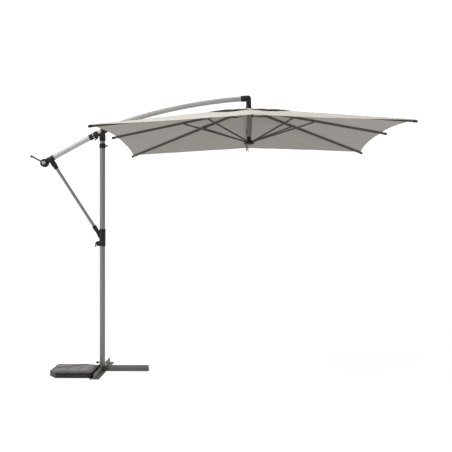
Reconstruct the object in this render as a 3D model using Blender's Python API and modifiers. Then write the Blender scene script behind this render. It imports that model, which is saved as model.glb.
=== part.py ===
"""Cantilever parasol: a 2.5 m square canopy hung from a boom that tilts on a side mast.

Metres, +Z up. The origin is the mast's axis on the ground, +X points at the canopy and +Y to the rear.
The canopy, ribs, stretchers, crown and runner are made in the hub's own frame: its origin is the
crown's pivot level on the pole's axis, and its Z runs up the pole, which leans a little with the boom.
"""

import math

import bmesh
import bpy
from mathutils import Matrix, Vector

# Clearances
GAP = 0.0003  # between faces that touch
RUNNING = 0.0005  # around a shaft or a sleeve that moves
SWING = 0.0007  # beside a blade that turns in its slot
BEND_ROOM = 0.0008  # around the bent boom in a straight bore

# Foot
FOOT_REACH = 0.432
FLANGE_WIDTH = 0.090
FLANGE_THICK = 0.003
WEB_HEIGHT = 0.050
WEB_THICK = 0.004
PLATE_SIDE = 0.072
PLATE_THICK = 0.005
BRACKET_LENGTH = 0.047
BRACKET_THICK = 0.003
SPIGOT_HEIGHT = 0.300

# Weight slab
SLAB_NEAR_X = 0.030  # its inner corner, measured from the mast's axis
SLAB_NEAR_Y = 0.020
SLAB_LENGTH = 0.390
SLAB_WIDTH = 0.370
SLAB_INNER_CUT = 0.035  # the corner beside the mast
SLAB_CUT_X = 0.073  # the outer corner
SLAB_CUT_Y = 0.110
SLAB_RIM_Z = 0.052
SLAB_TOP_Z = 0.065
SLAB_SLOPE = 0.030
SLAB_WALL = 0.004
PLUG_RADIUS = 0.016
PLUG_INSET = 0.034

# Mast
MAST_RADIUS = 0.025
MAST_WALL = 0.002
MAST_TOP_Z = 2.095
INNER_WALL = 0.0018
INNER_LENGTH = 0.160
INNER_TOP_Z = MAST_TOP_Z + 0.055
TOP_COLLAR_Z = MAST_TOP_Z - 0.036
TOP_COLLAR_HEIGHT = 0.042
TOP_COLLAR_WALL = 0.004
HEAD_Z = MAST_TOP_Z + 0.029
HEAD_TOP_Z = HEAD_Z + 0.039
HEAD_WALL = 0.0045
TONGUE_HALF = 0.007
TONGUE_RADIUS = 0.0093
KNOB_RADIUS = 0.009
KNOB_REACH = 0.021
FOOT_KNOB_Z = 0.078
FOOT_KNOB_AZIMUTH = 208.6
FOOT_KNOB_LENGTH = 0.034

# Boom and its pivots, each as (x, z) in the plane y = 0
BOOM_RADIUS = 0.0225
BOOM_WALL = 0.0016
BOOM_PIVOT = (0.0, HEAD_TOP_Z + 0.015)
BEND_START = (-0.100, BOOM_PIVOT[1] + BOOM_RADIUS - 0.0361)
STAY_PIVOT = (-0.4726, BEND_START[1] - 0.221)
COLLAR_PIVOT = (-MAST_RADIUS - 0.020, MAST_TOP_Z - 0.810)
TAIL_SLOPE = 28.44
MIDDLE_SLOPE = 16.0
TIP_SLOPE = 4.5
TAIL_BEND_RADIUS = 2.17
TIP_BEND_RADIUS = 4.80
SLEEVE_WALL = 0.0045
JOINT_RING_LENGTH = 0.037
SPLICE_LENGTH = 0.100
SPLICE_ROOM = 0.002  # inside the bent tube
SADDLE_WALL = 0.006
SADDLE_CHEEK = 0.005
SADDLE_CHEEK_RADIUS = 0.0125
LEVER_HALF = 0.009
LEVER_LUG = 0.004
LEVER_RADIUS = 0.006

# Crank at the boom's tail
HOUSING_BACK = 0.500  # from the bend's start to the drum's axis, along the boom
HOUSING_DROP = 0.005
HOUSING_RADIUS = 0.0375
HOUSING_HALF = 0.025
HOUSING_WALL = 0.005
HOUSING_SLEEVE_END = 0.101
DRUM_RADIUS = 0.014
DRUM_FLANGE_RADIUS = 0.027
AXLE_RADIUS = 0.008
ARM_LENGTH = 0.1145
ARM_HUB_RADIUS = 0.0175
ARM_END_RADIUS = 0.008
ARM_AZIMUTH = 151.9
ARM_THICK = 0.008
ARM_Y = -0.034
GRIP_RADIUS = 0.011
GRIP_LENGTH = 0.058
ROPE_RADIUS = 0.002

# Slide collar and stay
COLLAR_Z = COLLAR_PIVOT[1] - 0.133
COLLAR_HEIGHT = 0.156
COLLAR_WALL = 0.0035
COLLAR_EAR_RADIUS = 0.011
COLLAR_EAR_THICK = 0.005
BLOCK_REACH = MAST_RADIUS + 0.0255
BLOCK_HEIGHT = 0.046
STAY_RADIUS = 0.014
STAY_WALL = 0.0015
STAY_TONGUE_HALF = 0.006
STAY_SLEEVE_START = 0.014
STAY_SLEEVE_LENGTH = 0.050
STAY_SLEEVE_RADIUS = 0.020
STAY_SOCKET_RADIUS = 0.021
FORK_CHEEK_Y = BOOM_RADIUS + 0.0043  # clears the housing's sleeve
FORK_CHEEK_THICK = 0.0037
FORK_CHEEK_RADIUS = 0.015
FORK_YOKE_DROP = 0.032
FORK_YOKE_THICK = 0.012
FORK_SOCKET_LENGTH = 0.045
PIN_RADIUS = 0.004

# Canopy frame
RIB_COUNT = 8
RIB_PIVOT_RADIUS = 0.035
RIB_WIDTH = 0.012
RIB_HEIGHT = 0.018
RIB_WALL = 0.0008
RIB_TAIL = 0.006
MID_REACH = 1.270
MID_DROP = (MID_REACH - RIB_PIVOT_RADIUS) * 0.19514
CORNER_REACH = MID_REACH * 1.392
CORNER_DROP = (CORNER_REACH - RIB_PIVOT_RADIUS) * 0.17163
STRETCHER_REACH = 0.620
STRETCHER_WIDTH = 0.008
STRETCHER_HEIGHT = 0.014
STRETCHER_WALL = 0.001
STRETCHER_TAIL = 0.006
STRETCHER_OFFSET = 0.012
RUNNER_PIVOT_RADIUS = 0.034
RUNNER_PIVOT_Z = -0.291
RUNNER_TOP = -0.249
RUNNER_NECK = 0.0015
RUNNER_RADIUS = 0.0485
RUNNER_RIM_Z = -0.303
RUNNER_RIM = 0.006
RUNNER_DEPTH = 0.073
FLARE_STEPS = 4
TAIL_RADIUS = 0.0025
TAIL_POINTS = ((0.0, -0.3225), (-0.0005, -0.331), (-0.0022, -0.343), (-0.0042, -0.356),
               (-0.0058, -0.368), (-0.0065, -0.378))
KNOT_RADIUS = 0.006

# Elbow, pole and crown
HUB_X = MID_REACH + 0.086  # keeps the canopy clear of the mast
HUB_LEAN = -0.8
ELBOW_LEG_RADIUS = 0.024
ELBOW_ARM_START = HUB_X - 0.072
ELBOW_BOOM_END = HUB_X - 0.024
ELBOW_X = HUB_X - 0.007
ELBOW_RISE = 0.1087  # from the rib pivots to the boom's centreline
POLE_RADIUS = 0.017
POLE_WALL = 0.0015
POLE_TOP = 0.085
POLE_BOTTOM = -0.280
CROWN_RADIUS = 0.037
CROWN_TOP = RIB_HEIGHT / 2.0 + 0.0045
CROWN_BOTTOM = -0.013
CROWN_PLATE = 0.0023
CAP_THICK = 0.002

# Cloth
HEM_MID = MID_REACH - 0.052
HEM_CORNER = HEM_MID - 0.015
HEM_SCALLOP = 0.052
VENT_HALF = 0.225
CAP_HALF = 0.360
CAP_LIFT = 0.024
CAP_MARGIN = 0.001  # beyond the crown
CLOTH_THICK = 0.0012
CLOTH_ABOVE_RIB = RIB_HEIGHT / 2.0 + 0.0018

RIB_SIDES = ("right", "rear_right", "rear", "rear_left", "left", "front_left", "front", "front_right")


# ---------------------------------------------------------------------------------------- scene

def clear_scene():
    """Removes every object and every collection of the scene."""
    for old in list(bpy.data.objects):
        bpy.data.objects.remove(old, do_unlink=True)
    for old in list(bpy.data.collections):
        bpy.data.collections.remove(old)


def make_collection(name, hidden):
    """A new collection in the scene, left out of renders where it holds only cutting shapes."""
    group = bpy.data.collections.new(name)
    group.hide_render = hidden
    bpy.context.scene.collection.children.link(group)
    return group


clear_scene()
PARTS = make_collection("Cantilever parasol", hidden=False)
SHAPES = make_collection("Cutters and joined shapes", hidden=True)


def make_finish(name, colour, roughness, metallic):
    """A Principled material; colour is linear red, green and blue."""
    finish = bpy.data.materials.new(name)
    finish.use_nodes = True
    shader = finish.node_tree.nodes["Principled BSDF"]
    shader.inputs["Base Color"].default_value = (*colour, 1.0)
    shader.inputs["Roughness"].default_value = roughness
    shader.inputs["Metallic"].default_value = metallic
    return finish


GREY_TUBE = make_finish("Silver powder-coated aluminium", (0.42, 0.42, 0.42), 0.40, 0.6)
DARK_STEEL = make_finish("Dark grey powder-coated steel", (0.08, 0.075, 0.07), 0.50, 0.2)
FOOT_STEEL = make_finish("Grey powder-coated steel", (0.15, 0.15, 0.15), 0.60, 0.2)
ZINC = make_finish("Zinc-plated steel", (0.55, 0.55, 0.54), 0.35, 0.9)
BLACK_NYLON = make_finish("Black nylon", (0.018, 0.018, 0.019), 0.45, 0.0)
SLAB_SHELL = make_finish("Black polyethylene", (0.035, 0.035, 0.036), 0.55, 0.0)
CONCRETE = make_finish("Concrete", (0.35, 0.34, 0.32), 0.90, 0.0)
CLOTH = make_finish("Cream polyester canvas", (0.75, 0.71, 0.64), 0.90, 0.0)
ROPE = make_finish("Cream polyester rope", (0.70, 0.66, 0.58), 0.85, 0.0)


# ------------------------------------------------------------------------------------- geometry

def at(point, y=0.0):
    """A point of the plane y = 0, given as (x, z), as a vector."""
    return Vector((point[0], y, point[1]))


def frame_at(origin, z_axis, y_axis=(0.0, 1.0, 0.0)):
    """A matrix at origin whose Z runs along z_axis and whose Y stays near y_axis."""
    z_unit = Vector(z_axis).normalized()
    x_unit = Vector(y_axis).cross(z_unit).normalized()
    y_unit = z_unit.cross(x_unit)
    return Matrix.Translation(Vector(origin)) @ Matrix((x_unit, y_unit, z_unit)).transposed().to_4x4()


def across(origin):
    """A frame whose Z runs along world Y, for an outline in X and Z or a shaft across the boom."""
    return frame_at(origin, (0.0, 1.0, 0.0), (0.0, 0.0, -1.0))


def in_plane(x, z):
    """A point of the world's X and Z in the coordinates of across((0, 0, 0))."""
    return (x, -z)


def slope_vector(degrees):
    """The unit vector in the plane y = 0 that climbs at this angle towards +X."""
    return Vector((math.cos(math.radians(degrees)), 0.0, math.sin(math.radians(degrees))))


def add_object(name, mesh, matrix, finish, group=None):
    """Links a new object with this mesh; one in SHAPES only cuts or joins another."""
    obj = bpy.data.objects.new(name, mesh)
    (group or PARTS).objects.link(obj)
    obj.matrix_world = matrix
    obj.data.materials.append(finish)
    if group is SHAPES:
        obj.hide_render = True
        obj.display_type = "WIRE"
    return obj


def shade(obj, degrees=35.0):
    """Shades a piece smooth except over edges sharper than this angle."""
    obj.data.shade_smooth()
    obj.data.set_sharp_from_angle(angle=math.radians(degrees))
    return obj


def box(name, low, high, finish, matrix=Matrix.Identity(4), group=None):
    """A box between two corners given in the frame of matrix."""
    grid = bmesh.new()
    bmesh.ops.create_cube(grid, size=1.0)
    low, high = Vector(low), Vector(high)
    bmesh.ops.scale(grid, vec=high - low, verts=grid.verts)
    bmesh.ops.translate(grid, vec=(high + low) / 2.0, verts=grid.verts)
    mesh = bpy.data.meshes.new(name)
    grid.to_mesh(mesh)
    grid.free()
    return add_object(name, mesh, matrix, finish, group)


def rod(name, radius, start, end, finish, matrix=Matrix.Identity(4), group=None, sides=24):
    """A round bar along the Z of matrix, from start to end."""
    grid = bmesh.new()
    bmesh.ops.create_cone(grid, cap_ends=True, segments=sides, radius1=radius, radius2=radius,
                          depth=end - start)
    bmesh.ops.translate(grid, vec=(0.0, 0.0, (start + end) / 2.0), verts=grid.verts)
    mesh = bpy.data.meshes.new(name)
    grid.to_mesh(mesh)
    grid.free()
    return shade(add_object(name, mesh, matrix, finish, group))


def ball(name, radius, centre, group):
    """A sphere, for joining to or cutting from another piece."""
    grid = bmesh.new()
    bmesh.ops.create_uvsphere(grid, u_segments=24, v_segments=12, radius=radius)
    mesh = bpy.data.meshes.new(name)
    grid.to_mesh(mesh)
    grid.free()
    return add_object(name, mesh, Matrix.Translation(centre), BLACK_NYLON, group)


def turned(name, profile, finish, matrix=Matrix.Identity(4), group=None, sides=24, closed=True):
    """Turns a profile of (radius, z) about the Z of matrix; it runs down its outer side."""
    mesh = bpy.data.meshes.new(name)
    edges = [(i, i + 1) for i in range(len(profile) - 1)]
    if closed:
        edges.append((len(profile) - 1, 0))
    mesh.from_pydata([(radius, 0.0, z) for radius, z in profile], edges, [])
    obj = add_object(name, mesh, matrix, finish, group)
    screw = obj.modifiers.new("Turn", "SCREW")
    screw.steps = screw.render_steps = sides
    screw.use_merge_vertices = True
    screw.merge_threshold = 0.00001
    screw.use_smooth_shade = True
    return obj


def tube(name, radius, wall, start, end, finish, matrix=Matrix.Identity(4), sides=24):
    """A straight round tube, open at both ends, along the Z of matrix."""
    inner = radius - wall
    return turned(name, ((inner, end), (radius, end), (radius, start), (inner, start)), finish,
                  matrix, sides=sides)


def curve_mesh(name, curve):
    """The welded mesh of a curve, which is then removed."""
    guide = bpy.data.objects.new(name + " guide", curve)
    SHAPES.objects.link(guide)
    evaluated = guide.evaluated_get(bpy.context.evaluated_depsgraph_get())
    mesh = bpy.data.meshes.new_from_object(evaluated)
    bpy.data.objects.remove(guide, do_unlink=True)
    bpy.data.curves.remove(curve)
    grid = bmesh.new()
    grid.from_mesh(mesh)
    bmesh.ops.remove_doubles(grid, verts=grid.verts, dist=0.00001)
    bmesh.ops.recalc_face_normals(grid, faces=grid.faces)
    grid.to_mesh(mesh)
    grid.free()
    return mesh


def plate(name, outline, low, high, finish, matrix=Matrix.Identity(4), group=None):
    """A flat outline extruded along the Z of matrix from low to high."""
    curve = bpy.data.curves.new(name, "CURVE")
    curve.dimensions = "2D"
    curve.fill_mode = "BOTH"
    curve.extrude = (high - low) / 2.0
    spline = curve.splines.new("POLY")
    spline.points.add(len(outline) - 1)
    for point, (x, y) in zip(spline.points, outline):
        point.co = (x, y, 0.0, 1.0)
    spline.use_cyclic_u = True
    raised = matrix @ Matrix.Translation((0.0, 0.0, (low + high) / 2.0))
    return shade(add_object(name, curve_mesh(name, curve), raised, finish, group))


def pipe_mesh(name, points, radius, resolution, capped):
    """The mesh of a round bar or an open skin that follows the points."""
    curve = bpy.data.curves.new(name, "CURVE")
    curve.dimensions = "3D"
    curve.bevel_depth = radius
    curve.bevel_resolution = resolution
    curve.use_fill_caps = capped
    spline = curve.splines.new("POLY")
    spline.points.add(len(points) - 1)
    for point, place in zip(spline.points, points):
        point.co = (*place, 1.0)
    return curve_mesh(name, curve)


def bar_along(name, points, radius, finish, resolution=2, group=None):
    """A solid round bar that follows the points."""
    mesh = pipe_mesh(name, points, radius, resolution, capped=True)
    return shade(add_object(name, mesh, Matrix.Identity(4), finish, group), 60.0)


def tube_along(name, points, radius, wall, finish, resolution=4):
    """A hollow round tube, open at both ends, that follows the points."""
    mesh = pipe_mesh(name, points, radius, resolution, capped=False)
    obj = shade(add_object(name, mesh, Matrix.Identity(4), finish), 60.0)
    shell = obj.modifiers.new("Wall", "SOLIDIFY")
    shell.thickness = wall
    shell.offset = -1.0
    return obj


def combine(obj, other, operation):
    """Adds a Boolean of obj with a shape from SHAPES."""
    change = obj.modifiers.new(operation.title() + " " + other.name, "BOOLEAN")
    change.operation = operation
    change.solver = "EXACT"
    change.object = other
    return obj


def join(obj, *others):
    """Unites obj with shapes."""
    for other in others:
        combine(obj, other, "UNION")
    return obj


def cut(obj, *others):
    """Cuts shapes out of obj."""
    for other in others:
        combine(obj, other, "DIFFERENCE")
    return obj


def link_outline(start, end, start_radius, end_radius, steps=10):
    """The outline of a link: a round end at each point, joined by tangent sides."""
    start, end = Vector(start), Vector(end)
    run = end - start
    heading = math.atan2(run.y, run.x)
    spread = math.acos((start_radius - end_radius) / run.length)
    outline = []
    for centre, radius, first, last in ((end, end_radius, -spread, spread),
                                        (start, start_radius, spread, 2.0 * math.pi - spread)):
        for i in range(steps + 1):
            angle = heading + first + (last - first) * i / steps
            outline.append((centre.x + radius * math.cos(angle), centre.y + radius * math.sin(angle)))
    return outline


def inset_outline(points, distance):
    """A convex outline, listed anticlockwise, moved inwards by this distance."""
    moved = []
    for i, corner in enumerate(points):
        before, corner, after = Vector(points[i - 1]), Vector(corner), Vector(points[(i + 1) % len(points)])
        first, second = (corner - before).normalized(), (after - corner).normalized()
        inward_first, inward_second = Vector((-first.y, first.x)), Vector((-second.y, second.x))
        bisector = inward_first + inward_second
        moved.append(tuple(corner + bisector * (distance / (1.0 + inward_first.dot(inward_second)))))
    return moved


# ----------------------------------------------------------------------------------------- foot

def leg_outline():
    """An upside-down T: the flange on the ground and the web that stands on it."""
    half, web = FLANGE_WIDTH / 2.0, WEB_THICK / 2.0
    return ((-half, 0.0), (half, 0.0), (half, FLANGE_THICK), (web, FLANGE_THICK), (web, WEB_HEIGHT),
            (-web, WEB_HEIGHT), (-web, FLANGE_THICK), (-half, FLANGE_THICK))


def side_leg(name, side):
    """A leg that butts against the long bar, its flange outside the long bar's flange."""
    start = FLANGE_WIDTH / 2.0 + GAP
    frame = frame_at((0.0, 0.0, 0.0), (side, 0.0, 0.0), (0.0, 0.0, 1.0))
    leg = plate(name, leg_outline(), start, FOOT_REACH, FOOT_STEEL, frame)
    web = WEB_THICK / 2.0
    reach = box(name + " web", (-web, FLANGE_THICK + GAP, web + GAP), (web, WEB_HEIGHT, start + web),
                FOOT_STEEL, frame, SHAPES)
    return join(leg, reach)


def corner_bracket(name, side_x, side_y):
    """An angle that ties a leg's web to the long bar's web."""
    near = WEB_THICK / 2.0 + GAP
    far, inner = near + BRACKET_LENGTH, near + BRACKET_THICK
    corners = [(near, near), (far, near), (far, inner), (inner, inner), (inner, far), (near, far)]
    outline = [(side_x * x, side_y * y) for x, y in corners]
    return plate(name, outline, FLANGE_THICK + GAP, WEB_HEIGHT - GAP, DARK_STEEL)


def build_foot():
    """The cross of T-section legs, its brackets, and the plate with the spigot that the mast turns on."""
    along_y = frame_at((0.0, 0.0, 0.0), (0.0, -1.0, 0.0), (0.0, 0.0, 1.0))
    plate("foot_long_bar", leg_outline(), -FOOT_REACH, FOOT_REACH, FOOT_STEEL, along_y)
    side_leg("foot_leg_right", 1.0)
    side_leg("foot_leg_left", -1.0)
    for end, side_y in (("front", -1.0), ("rear", 1.0)):
        for side, side_x in (("left", -1.0), ("right", 1.0)):
            corner_bracket(f"foot_bracket_{end}_{side}", side_x, side_y)
    plate_z = WEB_HEIGHT + GAP
    half = PLATE_SIDE / 2.0
    top = plate_z + PLATE_THICK
    footing = box("foot_plate", (-half, -half, plate_z), (half, half, top), ZINC)
    radius = MAST_RADIUS - MAST_WALL - RUNNING
    spigot = rod("spigot", radius, plate_z + 0.001, top + SPIGOT_HEIGHT, ZINC, group=SHAPES)
    bore = rod("spigot bore", radius - MAST_WALL, top, top + SPIGOT_HEIGHT + 0.01, ZINC, group=SHAPES)
    cut(join(footing, spigot), bore)


def slab_outline():
    """The slab's outline, anticlockwise: a rectangle with its corners at the mast and outside cut."""
    right, back = -SLAB_NEAR_X, -SLAB_NEAR_Y
    left, front = right - SLAB_LENGTH, back - SLAB_WIDTH
    return ((right, back - SLAB_INNER_CUT), (right - SLAB_INNER_CUT, back), (left, back),
            (left, front + SLAB_CUT_Y), (left + SLAB_CUT_X, front), (right, front))


def slab_solid(name, inset, low, finish, group=None):
    """The slab's form, moved inwards by inset: upright sides, then a slope to a flat top."""
    side = inset_outline(slab_outline(), inset)
    crest = inset_outline(slab_outline(), SLAB_SLOPE + inset)
    levels = ((side, low), (side, SLAB_RIM_Z - inset), (crest, SLAB_TOP_Z - inset))
    grid = bmesh.new()
    rings = [[grid.verts.new((x, y, z)) for x, y in outline] for outline, z in levels]
    count = len(side)
    for below, above in zip(rings, rings[1:]):
        for i in range(count):
            grid.faces.new((below[i], below[(i + 1) % count], above[(i + 1) % count], above[i]))
    grid.faces.new(rings[-1])
    grid.faces.new(list(reversed(rings[0])))
    bmesh.ops.recalc_face_normals(grid, faces=grid.faces)
    mesh = bpy.data.meshes.new(name)
    grid.to_mesh(mesh)
    grid.free()
    return add_object(name, mesh, Matrix.Identity(4), finish, group)


def build_slab():
    """The weight slab: a plastic shell, the concrete cast in it and the plug of its filling hole."""
    base = FLANGE_THICK + GAP
    shell = slab_solid("weight_shell", 0.0, base, SLAB_SHELL)
    hollow = slab_solid("weight hollow", SLAB_WALL, base + SLAB_WALL, SLAB_SHELL, SHAPES)
    front = -SLAB_NEAR_Y - SLAB_WIDTH
    mouth = frame_at((-SLAB_NEAR_X - PLUG_INSET, front, (base + SLAB_RIM_Z) / 2.0), (0.0, -1.0, 0.0),
                     (0.0, 0.0, 1.0))
    bore = rod("weight mouth", PLUG_RADIUS, -SLAB_WALL * 2.0, 0.02, SLAB_SHELL, mouth, SHAPES, 24)
    cut(shell, hollow, bore)
    slab_solid("weight_core", SLAB_WALL + GAP, base + SLAB_WALL + GAP, CONCRETE)
    stem = PLUG_RADIUS - GAP
    turned("weight_plug", ((0.0, 0.0045), (0.012, 0.0045), (0.019, 0.003), (0.019, GAP), (stem, GAP),
                           (stem, -SLAB_WALL + GAP), (0.0, -SLAB_WALL + GAP)), SLAB_SHELL, mouth,
           sides=24, closed=False)


# ----------------------------------------------------------------------------------------- mast

def knob(name, origin, direction, finish, length):
    """A clamping knob: a stem and a ribbed round head, pointing along direction."""
    neck = KNOB_RADIUS * 0.55
    profile = ((0.0, length), (KNOB_RADIUS * 0.8, length), (KNOB_RADIUS, length - 0.002),
               (KNOB_RADIUS, length * 0.45), (neck, length * 0.35), (neck, 0.0), (0.0, 0.0))
    return turned(name, profile, finish, frame_at(origin, direction, (0.0, 0.0, 1.0)), sides=16,
                  closed=False)


def build_mast():
    """The mast, its inner tube, the clamp collar and the head that carries the boom."""
    base = WEB_HEIGHT + GAP + PLATE_THICK + GAP
    tube("mast_tube", MAST_RADIUS, MAST_WALL, base, MAST_TOP_Z, GREY_TUBE)
    inner_radius = MAST_RADIUS - MAST_WALL - GAP
    tube("mast_inner_tube", inner_radius, INNER_WALL, INNER_TOP_Z - INNER_LENGTH, INNER_TOP_Z, GREY_TUBE)
    collar_top = TOP_COLLAR_Z + TOP_COLLAR_HEIGHT
    collar_radius = MAST_RADIUS + GAP + TOP_COLLAR_WALL
    bore = MAST_RADIUS + GAP
    turned("mast_top_collar", ((bore, collar_top), (collar_radius - 0.002, collar_top),
                               (collar_radius, collar_top - 0.003), (collar_radius, TOP_COLLAR_Z + 0.003),
                               (collar_radius - 0.002, TOP_COLLAR_Z), (bore, TOP_COLLAR_Z)), BLACK_NYLON)
    knob("top_collar_knob", (collar_radius + GAP, 0.0, TOP_COLLAR_Z + TOP_COLLAR_HEIGHT / 2.0),
         (1.0, 0.0, 0.0), BLACK_NYLON, KNOB_REACH)
    azimuth = math.radians(FOOT_KNOB_AZIMUTH)
    outward = Vector((math.cos(azimuth), math.sin(azimuth), 0.0))
    knob("mast_foot_knob", outward * (MAST_RADIUS + GAP) + Vector((0.0, 0.0, FOOT_KNOB_Z)), outward,
         BLACK_NYLON, FOOT_KNOB_LENGTH)

    head_radius = inner_radius + GAP + HEAD_WALL
    ceiling = INNER_TOP_Z + GAP
    socket = inner_radius + GAP
    head = turned("mast_head", ((0.0, HEAD_TOP_Z), (head_radius - 0.003, HEAD_TOP_Z),
                                (head_radius, HEAD_TOP_Z - 0.003), (head_radius, HEAD_Z), (socket, HEAD_Z),
                                (socket, ceiling), (0.0, ceiling)), BLACK_NYLON, closed=False)
    tongue = link_outline(in_plane(0.0, HEAD_TOP_Z - 0.002), in_plane(*BOOM_PIVOT), 0.011, TONGUE_RADIUS)
    blade = plate("head tongue", tongue, -TONGUE_HALF, TONGUE_HALF, BLACK_NYLON, across((0, 0, 0)), SHAPES)
    low = box("head trim", (-0.03, -0.03, HEAD_Z), (0.03, 0.03, INNER_TOP_Z + GAP), BLACK_NYLON,
              group=SHAPES)
    cut(blade, low)
    pin_hole = rod("head pin hole", PIN_RADIUS + GAP, -0.03, 0.03, BLACK_NYLON, across(at(BOOM_PIVOT)),
                   SHAPES, 16)
    cut(join(head, blade), pin_hole)


# ----------------------------------------------------------------------------------------- boom

def boom_point(distance):
    """The boom's centreline this far beyond the start of its bend, and its slope there in degrees."""
    place, slope = at(BEND_START), TAIL_SLOPE
    if distance <= 0.0:
        return place + slope_vector(slope) * distance, slope
    for end_slope, radius in ((MIDDLE_SLOPE, TAIL_BEND_RADIUS), (TIP_SLOPE, TIP_BEND_RADIUS)):
        arc = radius * math.radians(slope - end_slope)
        turned_by = math.degrees(min(distance, arc) / radius)
        chord = 2.0 * radius * math.sin(math.radians(turned_by / 2.0))
        place = place + slope_vector(slope - turned_by / 2.0) * chord
        slope -= turned_by
        distance -= arc
        if distance <= 0.0:
            return place, slope
    return place + slope_vector(slope) * distance, slope


def boom_distance(x):
    """How far beyond the start of the bend the centreline reaches this x."""
    low, high = -1.0, 3.0
    for _ in range(50):
        middle = (low + high) / 2.0
        if boom_point(middle)[0].x < x:
            low = middle
        else:
            high = middle
    return low


def boom_frame(distance):
    """A frame on the centreline whose Z runs along the boom and whose X points down."""
    place, slope = boom_point(distance)
    return frame_at(place, slope_vector(slope))


def boom_run(start, end, count):
    """Evenly spaced centreline points."""
    return [tuple(boom_point(start + (end - start) * i / (count - 1))[0]) for i in range(count)]


def drum_centre():
    """The crank drum's axis, in the plane y = 0."""
    place, slope = boom_point(-HOUSING_BACK)
    return place - slope_vector(slope + 90.0) * HOUSING_DROP


def lever(name, pivot, tip, finish):
    """A cam lever with its own short axle; pivot and tip are (x, z)."""
    flap = plate(name, link_outline(in_plane(*pivot), in_plane(*tip), LEVER_RADIUS, LEVER_RADIUS * 0.6),
                 -LEVER_HALF, LEVER_HALF, finish, across((0, 0, 0)))
    reach = LEVER_HALF + LEVER_LUG
    axle = rod(name + " axle", PIN_RADIUS * 0.6, -reach, reach, finish, across(at(pivot)), SHAPES, 12)
    return join(flap, axle)


def lever_lugs(name, pivot, root):
    """The two lugs that hold a lever's axle, and the bore through them."""
    lugs = []
    inner = LEVER_HALF + SWING
    for side, low in (("front", -inner - LEVER_LUG), ("rear", inner)):
        outline = link_outline(in_plane(*root), in_plane(*pivot), LEVER_RADIUS, LEVER_RADIUS * 0.9)
        lugs.append(plate(f"{name} lug {side}", outline, low, low + LEVER_LUG, BLACK_NYLON,
                          across((0, 0, 0)), SHAPES))
    bore = rod(name + " bore", PIN_RADIUS * 0.6 + GAP, -0.03, 0.03, BLACK_NYLON, across(at(pivot)), SHAPES,
               12)
    return lugs, bore


def build_boom_tubes():
    """The boom's two tubes, the splice inside their joint and the ring around it."""
    joint = boom_distance(-0.104)
    tube_along("boom_front_tube", boom_run(joint + GAP, boom_distance(ELBOW_BOOM_END), 22), BOOM_RADIUS,
               BOOM_WALL, GREY_TUBE)
    tail = -HOUSING_BACK + 0.040
    tube("boom_rear_tube", BOOM_RADIUS, BOOM_WALL, tail, joint - GAP, GREY_TUBE, boom_frame(0.0))
    tube("boom_splice", BOOM_RADIUS - BOOM_WALL - SPLICE_ROOM, BOOM_WALL, -SPLICE_LENGTH / 2.0,
         SPLICE_LENGTH / 2.0, ZINC, boom_frame(joint), sides=24)
    half = JOINT_RING_LENGTH / 2.0
    outer = BOOM_RADIUS + BEND_ROOM + SLEEVE_WALL
    bore = BOOM_RADIUS + BEND_ROOM
    turned("boom_joint_ring", ((bore, half), (outer - 0.002, half), (outer, half - 0.002),
                               (outer, -half + 0.002), (outer - 0.002, -half), (bore, -half)),
           BLACK_NYLON, boom_frame(joint))


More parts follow.
